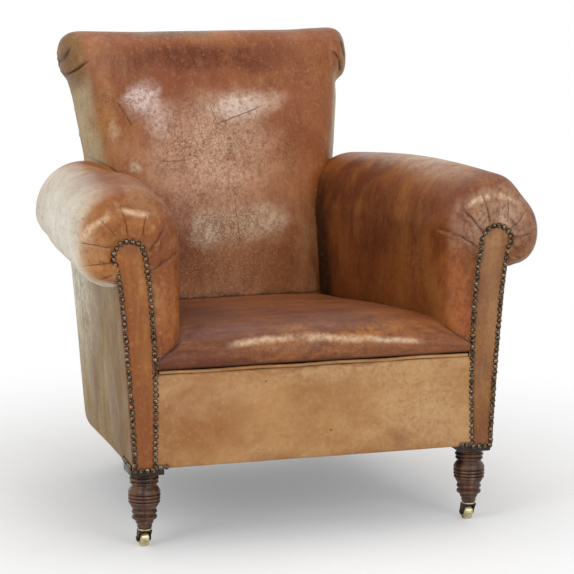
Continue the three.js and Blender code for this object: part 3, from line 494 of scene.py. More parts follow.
border = cover("front_border_panel", 130, 40, border_shape, (0, 300, 230))
border_leather = leather(
    "border_leather", dye(178, 134, 96), dye(148, 102, 66), dye(202, 164, 128),
    zones=[
        (dye(190, 154, 118), (60, 0, 292), (280, 60, 34), 0.7),
        (dye(196, 158, 120), (190, 0, 225), (130, 60, 100), 0.8),
        (dye(146, 92, 54), (-200, 0, 230), (120, 60, 90), 0.8),
        (dye(120, 74, 46), (-80, 0, 160), (60, 40, 20), 0.5),
        (dye(112, 70, 44), (160, 0, 172), (42, 40, 22), 0.5),
        # painted shade under the welt and the seat's nose
        (dye(120, 78, 50), (0, 0, 309), (320, 30, 6), 0.7),
    ],
    streak=(0.5, 1, 0.8), gloss=0.5, crackle=0.3, stain=0.45, specks=0.9)
thicken(border)
dress(border, border_leather, "chair", ["front_border"])


# Welt: a strip of the border's hide folded over a cord of about 6 mm and sewn into the seam
# between the seat and the border. It wanders a little, as a hand-sewn welt does.
WELT_HALF, WELT_RADIUS, WELT_HEIGHT = 283, 2.9, 315.4


def welt_shape(u, v):
    """u runs along the cord and v round it."""
    angle = 2 * np.pi * v
    y = 1.4 + 0.4 * np.sin(u * 40) + WELT_RADIUS * np.cos(angle)
    z = WELT_HEIGHT + 0.6 * np.sin(u * 23 + 1) + WELT_RADIUS * np.sin(angle)
    return -WELT_HALF + 2 * WELT_HALF * u, y, z


def close_tube(piece):
    """Joins the seam of a grid bent round to a tube, closes its ends and faces it outwards."""
    pick(piece)
    bpy.ops.object.mode_set(mode="EDIT")
    bpy.ops.mesh.select_all(action="SELECT")
    bpy.ops.mesh.remove_doubles(threshold=0.00002)
    bpy.ops.mesh.select_all(action="DESELECT")
    bpy.ops.mesh.select_non_manifold()
    bpy.ops.mesh.edge_face_add()
    bpy.ops.mesh.select_all(action="SELECT")
    bpy.ops.mesh.normals_make_consistent(inside=False)
    bpy.ops.object.mode_set(mode="OBJECT")
    bpy.ops.object.shade_smooth()


welt = cover("seat_welt_cord", 200, 12, welt_shape)
close_tube(welt)
dress(welt, border_leather, "chair", ["seat_welt"])


# Arms: one hide for each arm, from the seat up the inside, over the roll and down to the lip above
# the outside panel, gathered in pleats round the head of the facing and at the rear end.
ARM_REAR, ARM_FOOT = 655, 322
ROLL_OUT, ROLL_UP, ROLL_DOWN = 91, 96, 74
FRONT_ROUND, REAR_ROUND = 33, 20
HEAD_X, HEAD_Z, HEAD_RADIUS = 333.5, 518, 27.5
FACING_FOOT = 147
PANEL_FOOT = 146
WALL_SHARE, TURN_SHARE = 0.36, 0.86
RAKE = math.radians(13.9)
BACK_FOOT_Y, BACK_FOOT_Z = 532, 262


def roll_x(y):
    return 332 - 0.0843 * y


def roll_z(y):
    return 539 - 0.037 * y


def panel_rear(z):
    """Rear edge of the outside arm panel, which leans with the back."""
    return 644 + (z - BACK_FOOT_Z) * 0.2475


def panel_x(y, z):
    """Outer face of the outside arm panel."""
    front = 332 + 17 * (z - PANEL_FOOT) / 326
    rear = panel_rear(z) + 0.6
    along = np.clip((y - rear + 230) / 230, 0, None)
    curve = (front - 0.05 * rear - 275) * along ** 2.6
    return front - 0.05 * y - curve + 6 * smoothstep(y, 200, 600)


def roll_section(angle, y, grow):
    """Cross-section of the roll by angle."""
    outward = ROLL_OUT + 0.005 * y + grow
    inward = roll_x(y) - arm_inside(y) + grow
    upward = ROLL_UP + 14 * np.sin(np.clip(y / ARM_REAR, 0, 1) * np.pi) + grow
    c, s = np.cos(angle), np.sin(angle)
    x = roll_x(y) + c * np.where(c > 0, outward, inward)
    return x, roll_z(y) + s * np.where(s > 0, upward, ROLL_DOWN + grow)


def keyhole_edge(z, side, margin):
    """Edge of the facing's keyhole outline below its head."""
    t = np.clip((z - FACING_FOOT) / (HEAD_Z - FACING_FOOT), 0, 1)
    turn_out = t ** 12
    middle = 309.3 + 24.2 * (0.75 * t ** 2 + 0.25 * turn_out)
    half = 17.3 + 10.2 * (0.8 * (1 - (1 - t) ** 2) + 0.2 * turn_out)
    return middle + side * (half + margin)


def arm_contour(t, y, inset):
    """Point t, 0 to 1, of the cover's section: inner wall, roll, lip."""
    wall_x = arm_inside(y) + inset
    wall_z = ARM_FOOT + (roll_z(y) - ARM_FOOT) * np.clip(t / WALL_SHARE, 0, 1)
    lip = panel_x(y, 470) - 2
    outward = ROLL_OUT + 0.005 * y - inset
    end = -np.arccos(np.clip((lip - roll_x(y)) / np.maximum(outward, 1), -1, 1))
    angle = np.pi + (end - np.pi) * np.clip((t - WALL_SHARE) / (1 - WALL_SHARE), 0, 1)
    arc_x, arc_z = roll_section(angle, y, -inset)
    on_wall = t < WALL_SHARE
    return np.where(on_wall, wall_x, arc_x), np.where(on_wall, wall_z, arc_z)


def head_contour(t):
    """Point of the facing's edge that contour point t is gathered to."""
    wall_z = ARM_FOOT + (HEAD_Z - ARM_FOOT) * np.clip(t / WALL_SHARE, 0, 1)
    wall_x = keyhole_edge(wall_z, -1, -1)
    angle = np.pi * (1 - np.clip((t - WALL_SHARE) / (TURN_SHARE - WALL_SHARE), 0, 1))
    arc_x = HEAD_X + (HEAD_RADIUS - 1) * np.cos(angle)
    arc_z = HEAD_Z + (HEAD_RADIUS - 1) * np.sin(angle)
    fall_z = HEAD_Z + (468 - HEAD_Z) * np.clip((t - TURN_SHARE) / (1 - TURN_SHARE), 0, 1)
    fall_x = keyhole_edge(fall_z, 1, -1)
    parts = [t < WALL_SHARE, t < TURN_SHARE]
    return np.select(parts, [wall_x, arc_x], fall_x), np.select(parts, [wall_z, arc_z], fall_z)


def arm_shape(u, v):
    """u goes round the section; v goes from the rear end's middle to the facing's edge."""
    rear_cap, rear_turn, body, dome = 0.07, 0.11, 0.72, 0.84
    parts = [v < rear_turn, v < body]
    rear_bend = np.clip((v - rear_cap) / (rear_turn - rear_cap), 0, 1) * np.pi / 2
    front_bend = np.clip((v - body) / (dome - body), 0, 1) * np.pi / 2
    along = np.clip((v - rear_turn) / (body - rear_turn), 0, 1)
    straight = ARM_REAR - REAR_ROUND + (FRONT_ROUND - ARM_REAR + REAR_ROUND) * along
    y = np.select(parts, [ARM_REAR - REAR_ROUND * (1 - np.cos(rear_bend)), straight],
                  FRONT_ROUND * (1 - np.sin(front_bend)))
    inset = np.select(parts, [REAR_ROUND * (1 - np.sin(rear_bend)), 0 * v],
                      FRONT_ROUND * (1 - np.cos(front_bend)))
    x, z = arm_contour(u, y, inset)
    # the rear end's cap is drawn down to where it is tucked in behind the outside panel
    pull = np.where(v < rear_cap, 1 - np.clip(v / rear_cap, 0.03, 1), 0)
    x = x + (roll_x(y) + 6 - x) * pull
    z = z + (439 - z) * pull
    y = y - 5 * pull ** 2
    # the front face is drawn to the facing
    face = np.clip((v - dome) / (1 - dome), 0, 1)
    head_x, head_z = head_contour(u)
    x = x + (head_x - x) * face
    z = z + (head_z - z) * face
    full = (1 - 0.55 * (u < 0.3)) * (1 - smoothstep(u, 0.86, 0.98))
    y = y - 7.5 * np.sin(np.pi * face ** 0.8) * full + 2.0 * face ** 6
    y = y + 5.5 * smoothstep(u, 0.84, 0.95) * smoothstep(face, 0.4, 0.85)
    return x, y, z


def mirrored(piece, name):
    """The same cover for the other side of the chair."""
    twin = piece.copy()
    twin.data = piece.data.copy()
    twin.name = twin.data.name = name
    bpy.context.collection.objects.link(twin)
    twin.data.transform(Matrix.Scale(-1, 4, (1, 0, 0)))
    twin.data.flip_normals()
    return twin


def press(piece, depth, shade=None):
    """Moves each point inwards along its normal by depth in mm, and paints shade into the fold
    there through the fold attribute.
    """
    points = places(piece) - directions(piece) * (depth * MM)[:, None]
    piece.data.vertices.foreach_set("co", points.ravel())
    if shade is not None:
        old = values_of(piece, "fold")
        piece.data.attributes["fold"].data.foreach_set("value", np.maximum(old, shade))
    piece.data.update()


def slump(piece, u, v, sign, lumps):
    """Years of leaning have moved the stuffing out or in: lumps are (angle round the roll, spread,
    mm, from and to along it)."""
    points = places(piece)
    beside = sign * points[:, 0] / MM - roll_x((points[:, 1] - FRONT) / MM)
    angle = np.degrees(np.arctan2(points[:, 2] / MM - 545, beside))
    move = sum(mm * np.exp(-((angle - at) / spread) ** 2) * smoothstep(v, start, start + 0.2)
               * (1 - smoothstep(v, end - 0.14, end)) for at, spread, mm, start, end in lumps)
    press(piece, -move * smoothstep(u, 0.4, 0.5) * (1 - smoothstep(u, 0.985, 1.0)))


def arm_core(points):
    """The line along the middle of the roll."""
    y = (points[:, 1] - FRONT) / MM
    return np.stack([roll_x(y) * MM, points[:, 1], roll_z(y) * MM], 1)


def back_local(points):
    """The leaning back's own measures of points: across, in from its front face, up its slope."""
    y, z = (points[:, 1] - FRONT) / MM - BACK_FOOT_Y, points[:, 2] / MM - BACK_FOOT_Z
    depth = y * math.cos(RAKE) - z * math.sin(RAKE)
    return points[:, 0] / MM, depth, y * math.sin(RAKE) + z * math.cos(RAKE)


def make_arm(name):
    """The cover of the right arm, and how far round it and along it each of its points lies."""
    piece = cover(name, 200, 190, arm_shape, arm_core)
    u, v = values_of(piece, "across"), values_of(piece, "along")
    at_ends = np.maximum(1 - v / 0.02, 0) + smoothstep(v, 0.965, 0.985)
    held = at_ends + smoothstep(0.012 - u, -0.008, 0.0)
    held = np.maximum(held, smoothstep(u, 0.985, 0.995))
    puff(piece, np.clip(held, 0, 1), 2.5, 2.5)
    # painted reflection: the outer side of the roll painted pale, as the white surroundings show in
    # it at a glancing angle
    outer_reflection = smoothstep(u, 0.61, 0.73) * smoothstep(0.795 - v, 0, 0.04) * smoothstep(v, 0.05, 0.1)
    mark(piece, "outer", outer_reflection)
    # painted shadow: the inner wall where it runs in beside the back
    depth = back_local(places(piece))[1]
    mark(piece, "back_gap_shadow", smoothstep(depth, -66, -28) * smoothstep(0.5 - u, 0, 0.12))
    return piece, u, v


# Gathers of the scroll fronts as the photograph shows them: outer end, inner end at the nails
# (x, z), depth, and the side to which the slack of the fold lies.
LEFT_GATHERS = [((387, 590), (355, 556), 1.3, 1), ((347, 602), (334, 555), 1.3, 1),
                ((305, 590), (311, 554), 1.3, -1), ((268, 570), (299, 527), 1.5, -1),
                ((247, 519), (297, 494), 2.6, -1), ((425, 548), (362, 537), 1.3, 1),
                ((417, 504), (362, 513), 1.3, 1), ((386, 481), (361, 489), 1.2, -1)]
RIGHT_GATHERS = [((307, 600), (321, 551), 2.3, -1), ((268, 579), (306, 537), 2.4, -1),
                 ((226, 542), (264, 530), 2.6, -1), ((264, 530), (298, 509), 2.6, -1),
                 ((354, 594), (352, 551), 1.2, 1), ((396, 574), (360, 538), 1.4, 1),
                 ((404, 530), (364, 524), 1.3, 1), ((380, 486), (362, 492), 1.0, 1)]
PLEATS, FIRST_PLEAT, PLEAT_GAP, PLEAT_DEPTH = 14, 0.36, 0.047, 1.4


def gather(piece, u, v, sign, gathers):
    """Presses the gathers into the scroll front and the pleats into the rear end, and paints shade
    along their bottoms.
    """
    points = places(piece)
    x, y, z = sign * points[:, 0] / MM, (points[:, 1] - FRONT) / MM, points[:, 2] / MM
    depth, shade = np.zeros(len(u)), np.zeros(len(u))
    for (x1, z1), (x2, z2), deep, lean in gathers:
        length = math.hypot(x2 - x1, z2 - z1)
        ax, az = (x2 - x1) / length, (z2 - z1) / length
        share = ((x - x1) * ax + (z - z1) * az) / length
        off = (x - x1) * -az + (z - z1) * ax
        beyond = np.maximum(0, np.maximum(-share, share - 1)) * length
        far = np.hypot(off, beyond)
        taper = smoothstep(share, -0.12, 0.35 if deep < 2 else 0.05) * smoothstep(46 - y, 0, 12)
        slack = 0.6 * np.exp(-((off * lean - 5.5) / 4) ** 2) * (beyond < 6)
        depth += taper * deep * 1.35 * (np.exp(-(far / 2.6) ** 2) - slack)
        shade = np.maximum(shade, taper * np.exp(-(far / 1.3) ** 2) * 0.12 * deep)
    reach = 1 - smoothstep(v, 0.055, 0.10)
    for k in range(PLEATS):
        off = (u - FIRST_PLEAT - k * PLEAT_GAP) / 0.009
        depth += reach * PLEAT_DEPTH * np.exp(-off ** 2)
        shade = np.maximum(shade, reach * np.exp(-(off / 0.5) ** 2) * 0.5)
    press(piece, depth, shade)


def gather_lines(sign, gathers):
    """The painted shade line in the bottom of each gather, for the leather's creases."""
    return [((sign * x1, -3, z1), (sign * x2, -5, z2), 0.75 + 0.22 * deep)
            for (x1, z1), (x2, z2), deep, _ in gathers]


arm_right, arm_u, arm_v = make_arm("arm_cover_right")
arm_left = mirrored(arm_right, "arm_cover_left")
slump(arm_right, arm_u, arm_v, 1, [(40, 26, -10, 0.11, 0.97), (-42, 26, 10, 0.11, 0.97)])
slump(arm_left, arm_u, arm_v, -1, [(34, 28, 12, 0.11, 0.97), (-50, 26, 9, 0.11, 0.97),
                                   (112, 34, -15, 0.1, 0.56)])
gather(arm_right, arm_u, arm_v, 1, RIGHT_GATHERS)
gather(arm_left, arm_u, arm_v, -1, LEFT_GATHERS)
for arm, side, sign in ((arm_right, "right", 1), (arm_left, "left", -1)):
    thicken(arm, smooth=0)
    if sign > 0:
        look = leather(
            "arm_leather_right", dye(134, 80, 40), dye(98, 52, 24), dye(166, 114, 70),
            # painted shadow in the gap beside the back
            painted=[("back_gap_shadow", tone(8, 5, 4))],
            zones=[
                # painted sheen along the top of the roll
                (dye(186, 156, 134), (300, 300, 640), (90, 360, 56), 0.95),
                # painted shadow where the arm meets the back
                (dye(30, 14, 8), (200, 540, 440), (46, 70, 240), 1.1),
                (dye(66, 34, 16), (225, 330, 345), (60, 330, 60), 0.7),
                (dye(150, 92, 50), (240, 150, 440), (60, 190, 100), 0.6),
                (dye(166, 98, 56), (262, 4, 420), (34, 46, 170), 0.9),
                (dye(194, 160, 140), (330, -5, 560), (125, 46, 80), 1.0),
                (dye(196, 178, 158), (430, 300, 560), (50, 420, 130), 0.9),
                (dye(170, 122, 84), (390, -4, 490), (60, 40, 46), 0.7),
            ],
            # painted highlights along the top of the scroll
            painted_highlights=[((278, -5, 584), (322, -5, 602), 9), ((330, -5, 602), (380, -5, 584), 9)],
            creases=gather_lines(1, RIGHT_GATHERS), streak=(1, 1, 0.4), gloss=0.38, stain=0.45)
    else:
        look = leather(
            "arm_leather_left", dye(156, 100, 58), dye(118, 66, 34), dye(196, 150, 108),
            # painted reflection on the outer side of the roll, and painted shadow in the gap beside
            # the back
            painted=[("outer", dye(226, 216, 196)), ("back_gap_shadow", tone(8, 5, 4))],
            zones=[
                # painted reflection on the outer side of the roll
                (dye(246, 242, 230), (-430, 300, 540), (90, 460, 90), 0.9),
                # painted grey sheen on the top near the back
                (dye(176, 150, 118), (-360, 430, 636), (50, 220, 26), 0.6),
                (dye(140, 74, 34), (-325, 26, 618), (80, 40, 22), 0.8),
                (dye(146, 94, 54), (-318, 240, 636), (46, 240, 26), 0.8),
                (dye(104, 54, 26), (-285, 560, 630), (60, 110, 50), 0.8),
                (dye(180, 124, 70), (-395, -5, 505), (50, 34, 60), 0.8),
                (dye(172, 112, 66), (-330, -5, 575), (80, 30, 50), 0.7),
                (dye(162, 96, 48), (-262, 4, 420), (34, 46, 150), 0.9),
                (dye(110, 58, 28), (-235, 300, 420), (40, 300, 130), 0.7),
            ],
            # painted highlights round the top of the scroll
            painted_highlights=[
                ((-416, -5, 546), (-398, -5, 578), 9), ((-402, -5, 574), (-366, -5, 595), 9),
                ((-350, -5, 599), (-296, -5, 588), 8),
            ],
            creases=gather_lines(-1, LEFT_GATHERS), streak=(1, 0.3, 1), gloss=0.38, stain=0.35)
    dress(arm, look, "chair", [f"arm_pad_{side}"])


# Facings: keyhole boards covered with thin hide over a little wadding, set on the arm fronts over
# the ends of the gathers and held there by a row of nails all round.
FACING_RINGS = [0, 0.12, 0.24, 0.4, 0.6, 1]
FACING_MARGINS = [5.0, 4.9, 2.0, -2.5, -8, -16.6]
FACING_PROUD = [-0.4, -1.6, -1.2, -1.7, -2.6, -2.9]


def keyhole_outline(t, margin):
    """Point t, 0 to 1, of the closed outline: up the outer edge, round the head, down, along the
    foot."""
    rise, head, fall = 0.39, 0.51, 0.90
    low = FACING_FOOT - np.minimum(margin, 0)
    up = np.clip(t / rise, 0, 1)
    z_up = low + (HEAD_Z - low) * up
    angle = np.pi * np.clip((t - rise) / (head - rise), 0, 1)
    down = np.clip((t - head) / (fall - head), 0, 1)
    z_down = HEAD_Z + (low - HEAD_Z) * down
    foot = np.clip((t - fall) / (1 - fall), 0, 1)
    foot_start, foot_end = keyhole_edge(low, -1, margin), keyhole_edge(low, 1, margin)
    parts = [t < rise, t < head, t < fall]
    x = np.select(parts, [keyhole_edge(z_up, 1, margin),
                          HEAD_X + (HEAD_RADIUS + margin) * np.cos(angle),
                          keyhole_edge(z_down, -1, margin)],
                  foot_start + foot * (foot_end - foot_start))
    z = np.select(parts, [z_up, HEAD_Z + (HEAD_RADIUS + margin) * np.sin(angle), z_down], low)
    return x, z


def facing_shape(u, v):
    """u goes round the outline and v inwards from its edge, in rings."""
    x, z = keyhole_outline(u, np.interp(v, FACING_RINGS, FACING_MARGINS))
    return x, np.interp(v, FACING_RINGS, FACING_PROUD), z


facing_right = cover("facing_cover_right", 260, 14, facing_shape)
close_tube(facing_right)
facing_left = mirrored(facing_right, "facing_cover_left")
for facing, side, sign in ((facing_right, "right", 1), (facing_left, "left", -1)):
    if sign > 0:
        look = leather(
            "facing_leather_right", dye(150, 106, 70), dye(116, 72, 48), dye(182, 140, 104),
            zones=[
                (dye(104, 68, 56), (320, 0, 410), (20, 40, 60), 0.7),
                (dye(120, 82, 62), (312, 0, 300), (16, 40, 80), 0.6),
                (dye(118, 76, 44), (309, 0, 200), (30, 40, 70), 0.8),
                (dye(176, 134, 98), (334, 0, 525), (30, 40, 26), 0.6),
            ],
            streak=(1, 1, 0.2), gloss=0.42, crackle=0.3)
    else:
        look = leather(
            "facing_leather_left", dye(160, 102, 56), dye(130, 78, 40), dye(186, 136, 90),
            zones=[
                (dye(188, 138, 96), (-320, 0, 480), (14, 40, 60), 0.5),
                (dye(126, 76, 40), (-310, 0, 200), (30, 40, 50), 0.4),
                (dye(110, 70, 48), (-336, 0, 530), (16, 40, 20), 0.5),
            ],
            streak=(1, 1, 0.2), gloss=0.42, crackle=0.3)
    dress(facing, look, "chair", [f"arm_facing_{side}"])


# Nails: antiqued brass upholstery nails with domed heads, driven by hand about every 10 mm round
# each facing, two beside its foot, and a few along the foot of the outside panel.
NAIL_GAP, NAIL_RADIUS, NAIL_FLATTEN, NAIL_Y, NAIL_Z = 10.35, 4.95, 0.78, -2.6, 151


def nail_places():
    """(x, y, z, way its head faces) of each nail on the right side."""
    spaced = []
    t = np.linspace(0, 1, 4000, endpoint=False)
    x, z = keyhole_outline(t, 0)
    run = np.concatenate([[0], np.cumsum(np.hypot(np.diff(x), np.diff(z)))])
    total = run[-1] + math.hypot(x[0] - x[-1], z[0] - z[-1])
    count = round(total / NAIL_GAP)
    for k in range(count):
        at = np.interp(k * total / count, run, np.arange(len(run)))
        spaced.append((x[int(at)], NAIL_Y, z[int(at)], (0, -1, 0)))
    for k in range(2):
        beside_foot = keyhole_edge(FACING_FOOT, -1, 0) - 10 * (k + 1)
        spaced.append((beside_foot, NAIL_Y, NAIL_Z, (0, -1, 0)))
    for y in range(8, 88, 10):
        spaced.append((panel_x(y, NAIL_Z) + 0.2, y, NAIL_Z, (1, 0, 0)))
    return spaced


bpy.ops.object.select_all(action="DESELECT")
bpy.ops.mesh.primitive_uv_sphere_add(segments=10, ring_count=8, radius=NAIL_RADIUS * MM)
pattern = bpy.context.object
bpy.ops.object.mode_set(mode="EDIT")
bpy.ops.mesh.select_all(action="SELECT")
bpy.ops.mesh.bisect(plane_co=(0, 0, 0.0004), plane_no=(0, 0, 1), clear_inner=True, use_fill=True)
bpy.ops.mesh.select_all(action="SELECT")
bpy.ops.transform.resize(value=(1, 1, NAIL_FLATTEN), center_override=(0, 0, 0))
bpy.ops.object.mode_set(mode="OBJECT")
bpy.ops.object.shade_smooth()
chance = np.random.default_rng(11)
nail_metal = Finish("nail_bronze")
tarnish = nail_metal.noise(170, 3)
glint = nail_metal.noise(420, 2)
nail_metal.bump(glint, 0.35, 0.5)
nail_colour = nail_metal.mixed(nail_metal.step(tarnish, 0.4, 0.64), tone(58, 48, 40),
                               tone(128, 112, 92))
nail_metal.done(nail_colour, nail_metal.step(tarnish, 0.3, 0.7, 0.2, 0.36), Metallic=0.95)
for side, sign in (("right", 1), ("left", -1)):
    whole = bmesh.new()
    for x, y, z, facing_way in nail_places():
        way = Vector((sign * facing_way[0], facing_way[1], facing_way[2]))
        way = (way + Vector(chance.normal(0, 0.06, 3))).normalized()
        jitter = chance.normal(0, 0.35, 2)
        place = spot(sign * x + jitter[0] * abs(way.y), y, z + jitter[1])
        size = 1 + chance.normal(0, 0.03)
        aimed = Vector((0, 0, 1)).rotation_difference(way).to_matrix().to_4x4()
        driven = Matrix.Translation(place) @ aimed
        one = pattern.data.copy()
        spun = Matrix.Rotation(chance.uniform(0, 6), 4, "Z")
        one.transform(driven @ spun @ Matrix.Scale(size, 4))
        whole.from_mesh(one)
        bpy.data.meshes.remove(one)
    mesh = bpy.data.meshes.new(f"nails_{side}")
    whole.to_mesh(mesh)
    whole.free()
    row = bpy.data.objects.new(f"nails_{side}", mesh)
    bpy.context.collection.objects.link(row)
    for polygon in mesh.polygons:
        polygon.use_smooth = True
    dress(row, nail_metal.material, "chair")
bpy.data.objects.remove(pattern)


# Outside arm panels: dry, faded hide stretched from the roll's lip to under the rail, curving in to
# the rear corner, with a turned edge at the bottom that has dropped at the rear.
PANEL_TOP, PANEL_FRONT, PANEL_SAG = 467.5, 1.5, 26
PANEL_MIDDLE = (PANEL_FOOT + PANEL_TOP) / 2


def outside_shape(u, v):
    """u goes from the facing to the rear edge, v up from the foot to under the roll."""
    z = PANEL_FOOT + (PANEL_TOP - PANEL_FOOT) * v
    y = PANEL_FRONT + (panel_rear(z) - PANEL_FRONT) * u
    sag = PANEL_SAG * u * (1 - v) ** 1.5
    x = panel_x(y, z)
    under_roll = np.minimum(PANEL_TOP, roll_z(y) - ROLL_DOWN + 1.0)
    z = np.where(v > 0.5, PANEL_MIDDLE + (v - 0.5) / 0.5 * (under_roll - PANEL_MIDDLE), z)
    puffed = np.sin(np.pi * np.clip(u, 0, 1)) ** 0.6 * np.sin(np.pi * v) ** 0.5
    x = x + 1.6 * puffed - 0.8 + 0.7 * np.sin(y / 47 + z / 80) * puffed
    turned = np.clip(1 - v / 0.03, 0, 1)
    x = x - 1.2 * turned ** 2
    x = x - 48 * smoothstep(v, 0.955, 1.0) * smoothstep(y, 622, 650)
    return x, y, z - sag


outside_right = cover("outside_arm_cover_right", 120, 60, outside_shape, (0, 320, 300))
thicken(outside_right)
outside_left = mirrored(outside_right, "outside_arm_cover_left")
for panel, side, sign in ((outside_right, "right", 1), (outside_left, "left", -1)):
    look = leather(
        f"outside_leather_{side}", dye(142, 110, 64), dye(114, 84, 44), dye(176, 154, 112),
        zones=[
            (dye(222, 214, 196), (sign * 320, 540, 400), (100, 330, 240), 1.1),
            (dye(190, 172, 140), (sign * 290, 560, 220), (80, 260, 120), 0.7),
            (dye(132, 94, 44), (sign * 330, 30, 300), (50, 130, 220), 1.0),
            # painted shade under the roll
            (dye(104, 84, 60), (sign * 335, 120, 462), (40, 170, 20), 0.5),
        ],
        streak=(1, 1, 0.22), gloss=0.5, crackle=0.3, stain=0.5)
    dress(panel, look, "chair", [f"outside_arm_{side}"])


# Back: a deep stuffed back leaning with the frame, crowned in front, rolled over at the top with
# the hide gathered into a pleated ear at each end. Slab and roll are joined to one body, which is
# pushed out by a cloth simulation before the ears are folded.
BACK_UP, BACK_IN, BACK_ROLL = 577, 59, 54
CROWN, BACK_REAR = 16, 110
CORNER, FLARE = 26, 30
EAR_START, EAR_HALF, EAR_LENGTH = 0.86, 262, 34
BODY_GRAIN = 0.0063


def back_half(up):
    """Half the slab's width, which grows up to the roll."""
    return 182.8 + 0.1318 * np.minimum(up, BACK_UP)


def back_place(x, depth, up):
    """From the leaning back's own measures: across, in from its front face, up its slope. The worn
    frame stands a little aslant: its top lies a few mm to the left of its foot."""
    lean = 3.0 * smoothstep(up, 150, 420) - 9.0 * smoothstep(up, 500, 590)
    y = BACK_FOOT_Y + depth * math.cos(RAKE) + up * math.sin(RAKE)
    z = BACK_FOOT_Z - depth * math.sin(RAKE) + up * math.cos(RAKE)
    return x + lean, y, z


def slab_shape(u, v):
    """u runs round the section, v up the slab to inside the roll; both ends are drawn shut."""
    shut = np.minimum(np.clip(v / 0.04, 0, 1), np.clip((1 - v) / 0.04, 0, 1))
    up = 40 + 572 * np.clip((v - 0.04) / 0.92, 0, 1)
    within = np.sqrt(np.clip(BACK_ROLL ** 2 - np.clip(up - BACK_UP, 0, BACK_ROLL) ** 2, 0, None))
    front = np.where(up > BACK_UP, BACK_IN - within + 1.5, 5 * smoothstep(up, 400, BACK_UP))
    rear = np.where(up > BACK_UP, np.minimum(BACK_REAR, BACK_IN + within - 1.5), BACK_REAR)
    crown = CROWN * (0.45 + 0.55 * smoothstep(up, 60, 220)) * (1 - smoothstep(up, 400, BACK_UP))
    half = back_half(up)
    flat = half - CORNER
    x = -flat + 2 * flat * np.clip(u / 0.36, 0, 1)
    depth = front - crown * (1 - (x / flat) ** 2)
    for first, last, sign in ((0.36, 0.5, 1), (0.86, 1.0, -1)):
        t = np.clip((u - first) / (last - first), 0, 1)
        t = t if sign > 0 else 1 - t
        bend = np.clip(t / 0.36, 0, 1) * np.pi / 2
        side = np.clip((t - 0.36) / 0.64, 0, 1)
        here = (u >= first) & (u <= last)
        x = np.where(here, sign * (flat + CORNER * np.sin(bend) + FLARE * side), x)
        inwards = front + CORNER * (1 - np.cos(bend)) + (rear - front - CORNER) * side
        depth = np.where(here, inwards, depth)
    behind = (u > 0.5) & (u < 0.86)
    x = np.where(behind, (half + FLARE) * (1 - 2 * np.clip((u - 0.5) / 0.36, 0, 1)), x)
    depth = np.where(behind, rear, depth)
    return back_place(x * shut, 55 + (depth - 55) * shut, up)


def roll_shape(u, v):
    """u runs round the roll, v from ear to ear."""
    reach = 2 * v - 1
    ear = np.clip((np.abs(reach) - EAR_START) / (1 - EAR_START), 0, 1)
    x = np.clip(np.abs(reach) / EAR_START, 0, 1) * EAR_HALF + EAR_LENGTH * np.sin(ear * np.pi / 2)
    size = BACK_ROLL * np.maximum(np.cos(ear * np.pi / 2), 0.0) ** 0.62
    slip = 30 * ear ** 1.5
    angle = 2 * np.pi * u
    return back_place(np.sign(reach) * x, BACK_IN + slip + size * np.cos(angle),
                      BACK_UP + 10 * ear ** 2 + size * np.sin(angle))


slab = cover("back_cushion", 150, 90, slab_shape)
close_tube(slab)
roll = cover("back_top_roll", 64, 150, roll_shape)
close_tube(roll)
pick(slab)
roll.select_set(True)
bpy.ops.object.join()
back = bpy.context.object
shaped_by(back, "REMESH", mode="VOXEL", voxel_size=BODY_GRAIN)
shaped_by(back, "SMOOTH", factor=0.5, iterations=6)
mark(back, "fold", np.zeros(len(back.data.vertices)))
x, depth, up = back_local(places(back))
puff(back, np.clip(smoothstep(depth, 84, 100) + smoothstep(60 - up, 0, 20), 0, 1), 2.5, 4)
shaped_by(back, "SUBSURF", levels=1, render_levels=1)
bpy.ops.object.shade_smooth()


# Folds of the ears in the photograph: x and z of both ends, and depth.
EAR_FOLDS = {-1: [(-288, 832, -309, 782, 3.4), (-256, 805, -302, 768, 4.0)],
             1: [(246, 817, 262, 800, 2.0), (262, 800, 268, 776, 2.4), (268, 838, 276, 806, 1.8)]}


def fold_ears(piece):
    """Presses the seen folds into each ear, and the ones that run round its back, and paints shade
    along their bottoms.
    """
    x, depth, up = back_local(places(piece))
    z = places(piece)[:, 2] / MM
    press_in, shade = np.zeros(len(x)), np.zeros(len(x))
    seen = smoothstep(96 - depth, 0, 14)
    for sign, folds in EAR_FOLDS.items():
        for x1, z1, x2, z2, deep in folds:
            length = math.hypot(x2 - x1, z2 - z1)
            ax, az = (x2 - x1) / length, (z2 - z1) / length
            share = np.clip(((x - x1) * ax + (z - z1) * az) / length, 0, 1)
            far = np.hypot(x - x1 - share * length * ax, z - z1 - share * length * az)
            off = (x - x1) * -az + (z - z1) * ax
            taper = seen * smoothstep(share, -0.05, 0.3)
            slack = 0.5 * np.exp(-((far - 5.5) / 3.5) ** 2) * (off * sign > 0)
            press_in += taper * deep * (np.exp(-(far / 2.4) ** 2) - slack)
            shade = np.maximum(shade, taper * np.exp(-(far / 1.9) ** 2) * 0.8)
    angle = np.degrees(np.arctan2(up - BACK_UP - 6, depth - BACK_IN - 14))
    radius = np.hypot(up - BACK_UP - 6, depth - BACK_IN - 14)
    reach = smoothstep(np.abs(x), 262, 280) * smoothstep(radius, 3, 12) * smoothstep(depth, 60, 76)
    for at, deep in ((52, 1.6), (18, 1.8), (-14, 1.8), (-44, 1.6)):
        off = (angle - at + 3 * np.sin(radius / 9)) / 6
        press_in += reach * deep * np.exp(-off ** 2)
        shade = np.maximum(shade, reach * np.exp(-(off / 0.5) ** 2) * 0.7)
    press(piece, press_in, shade)


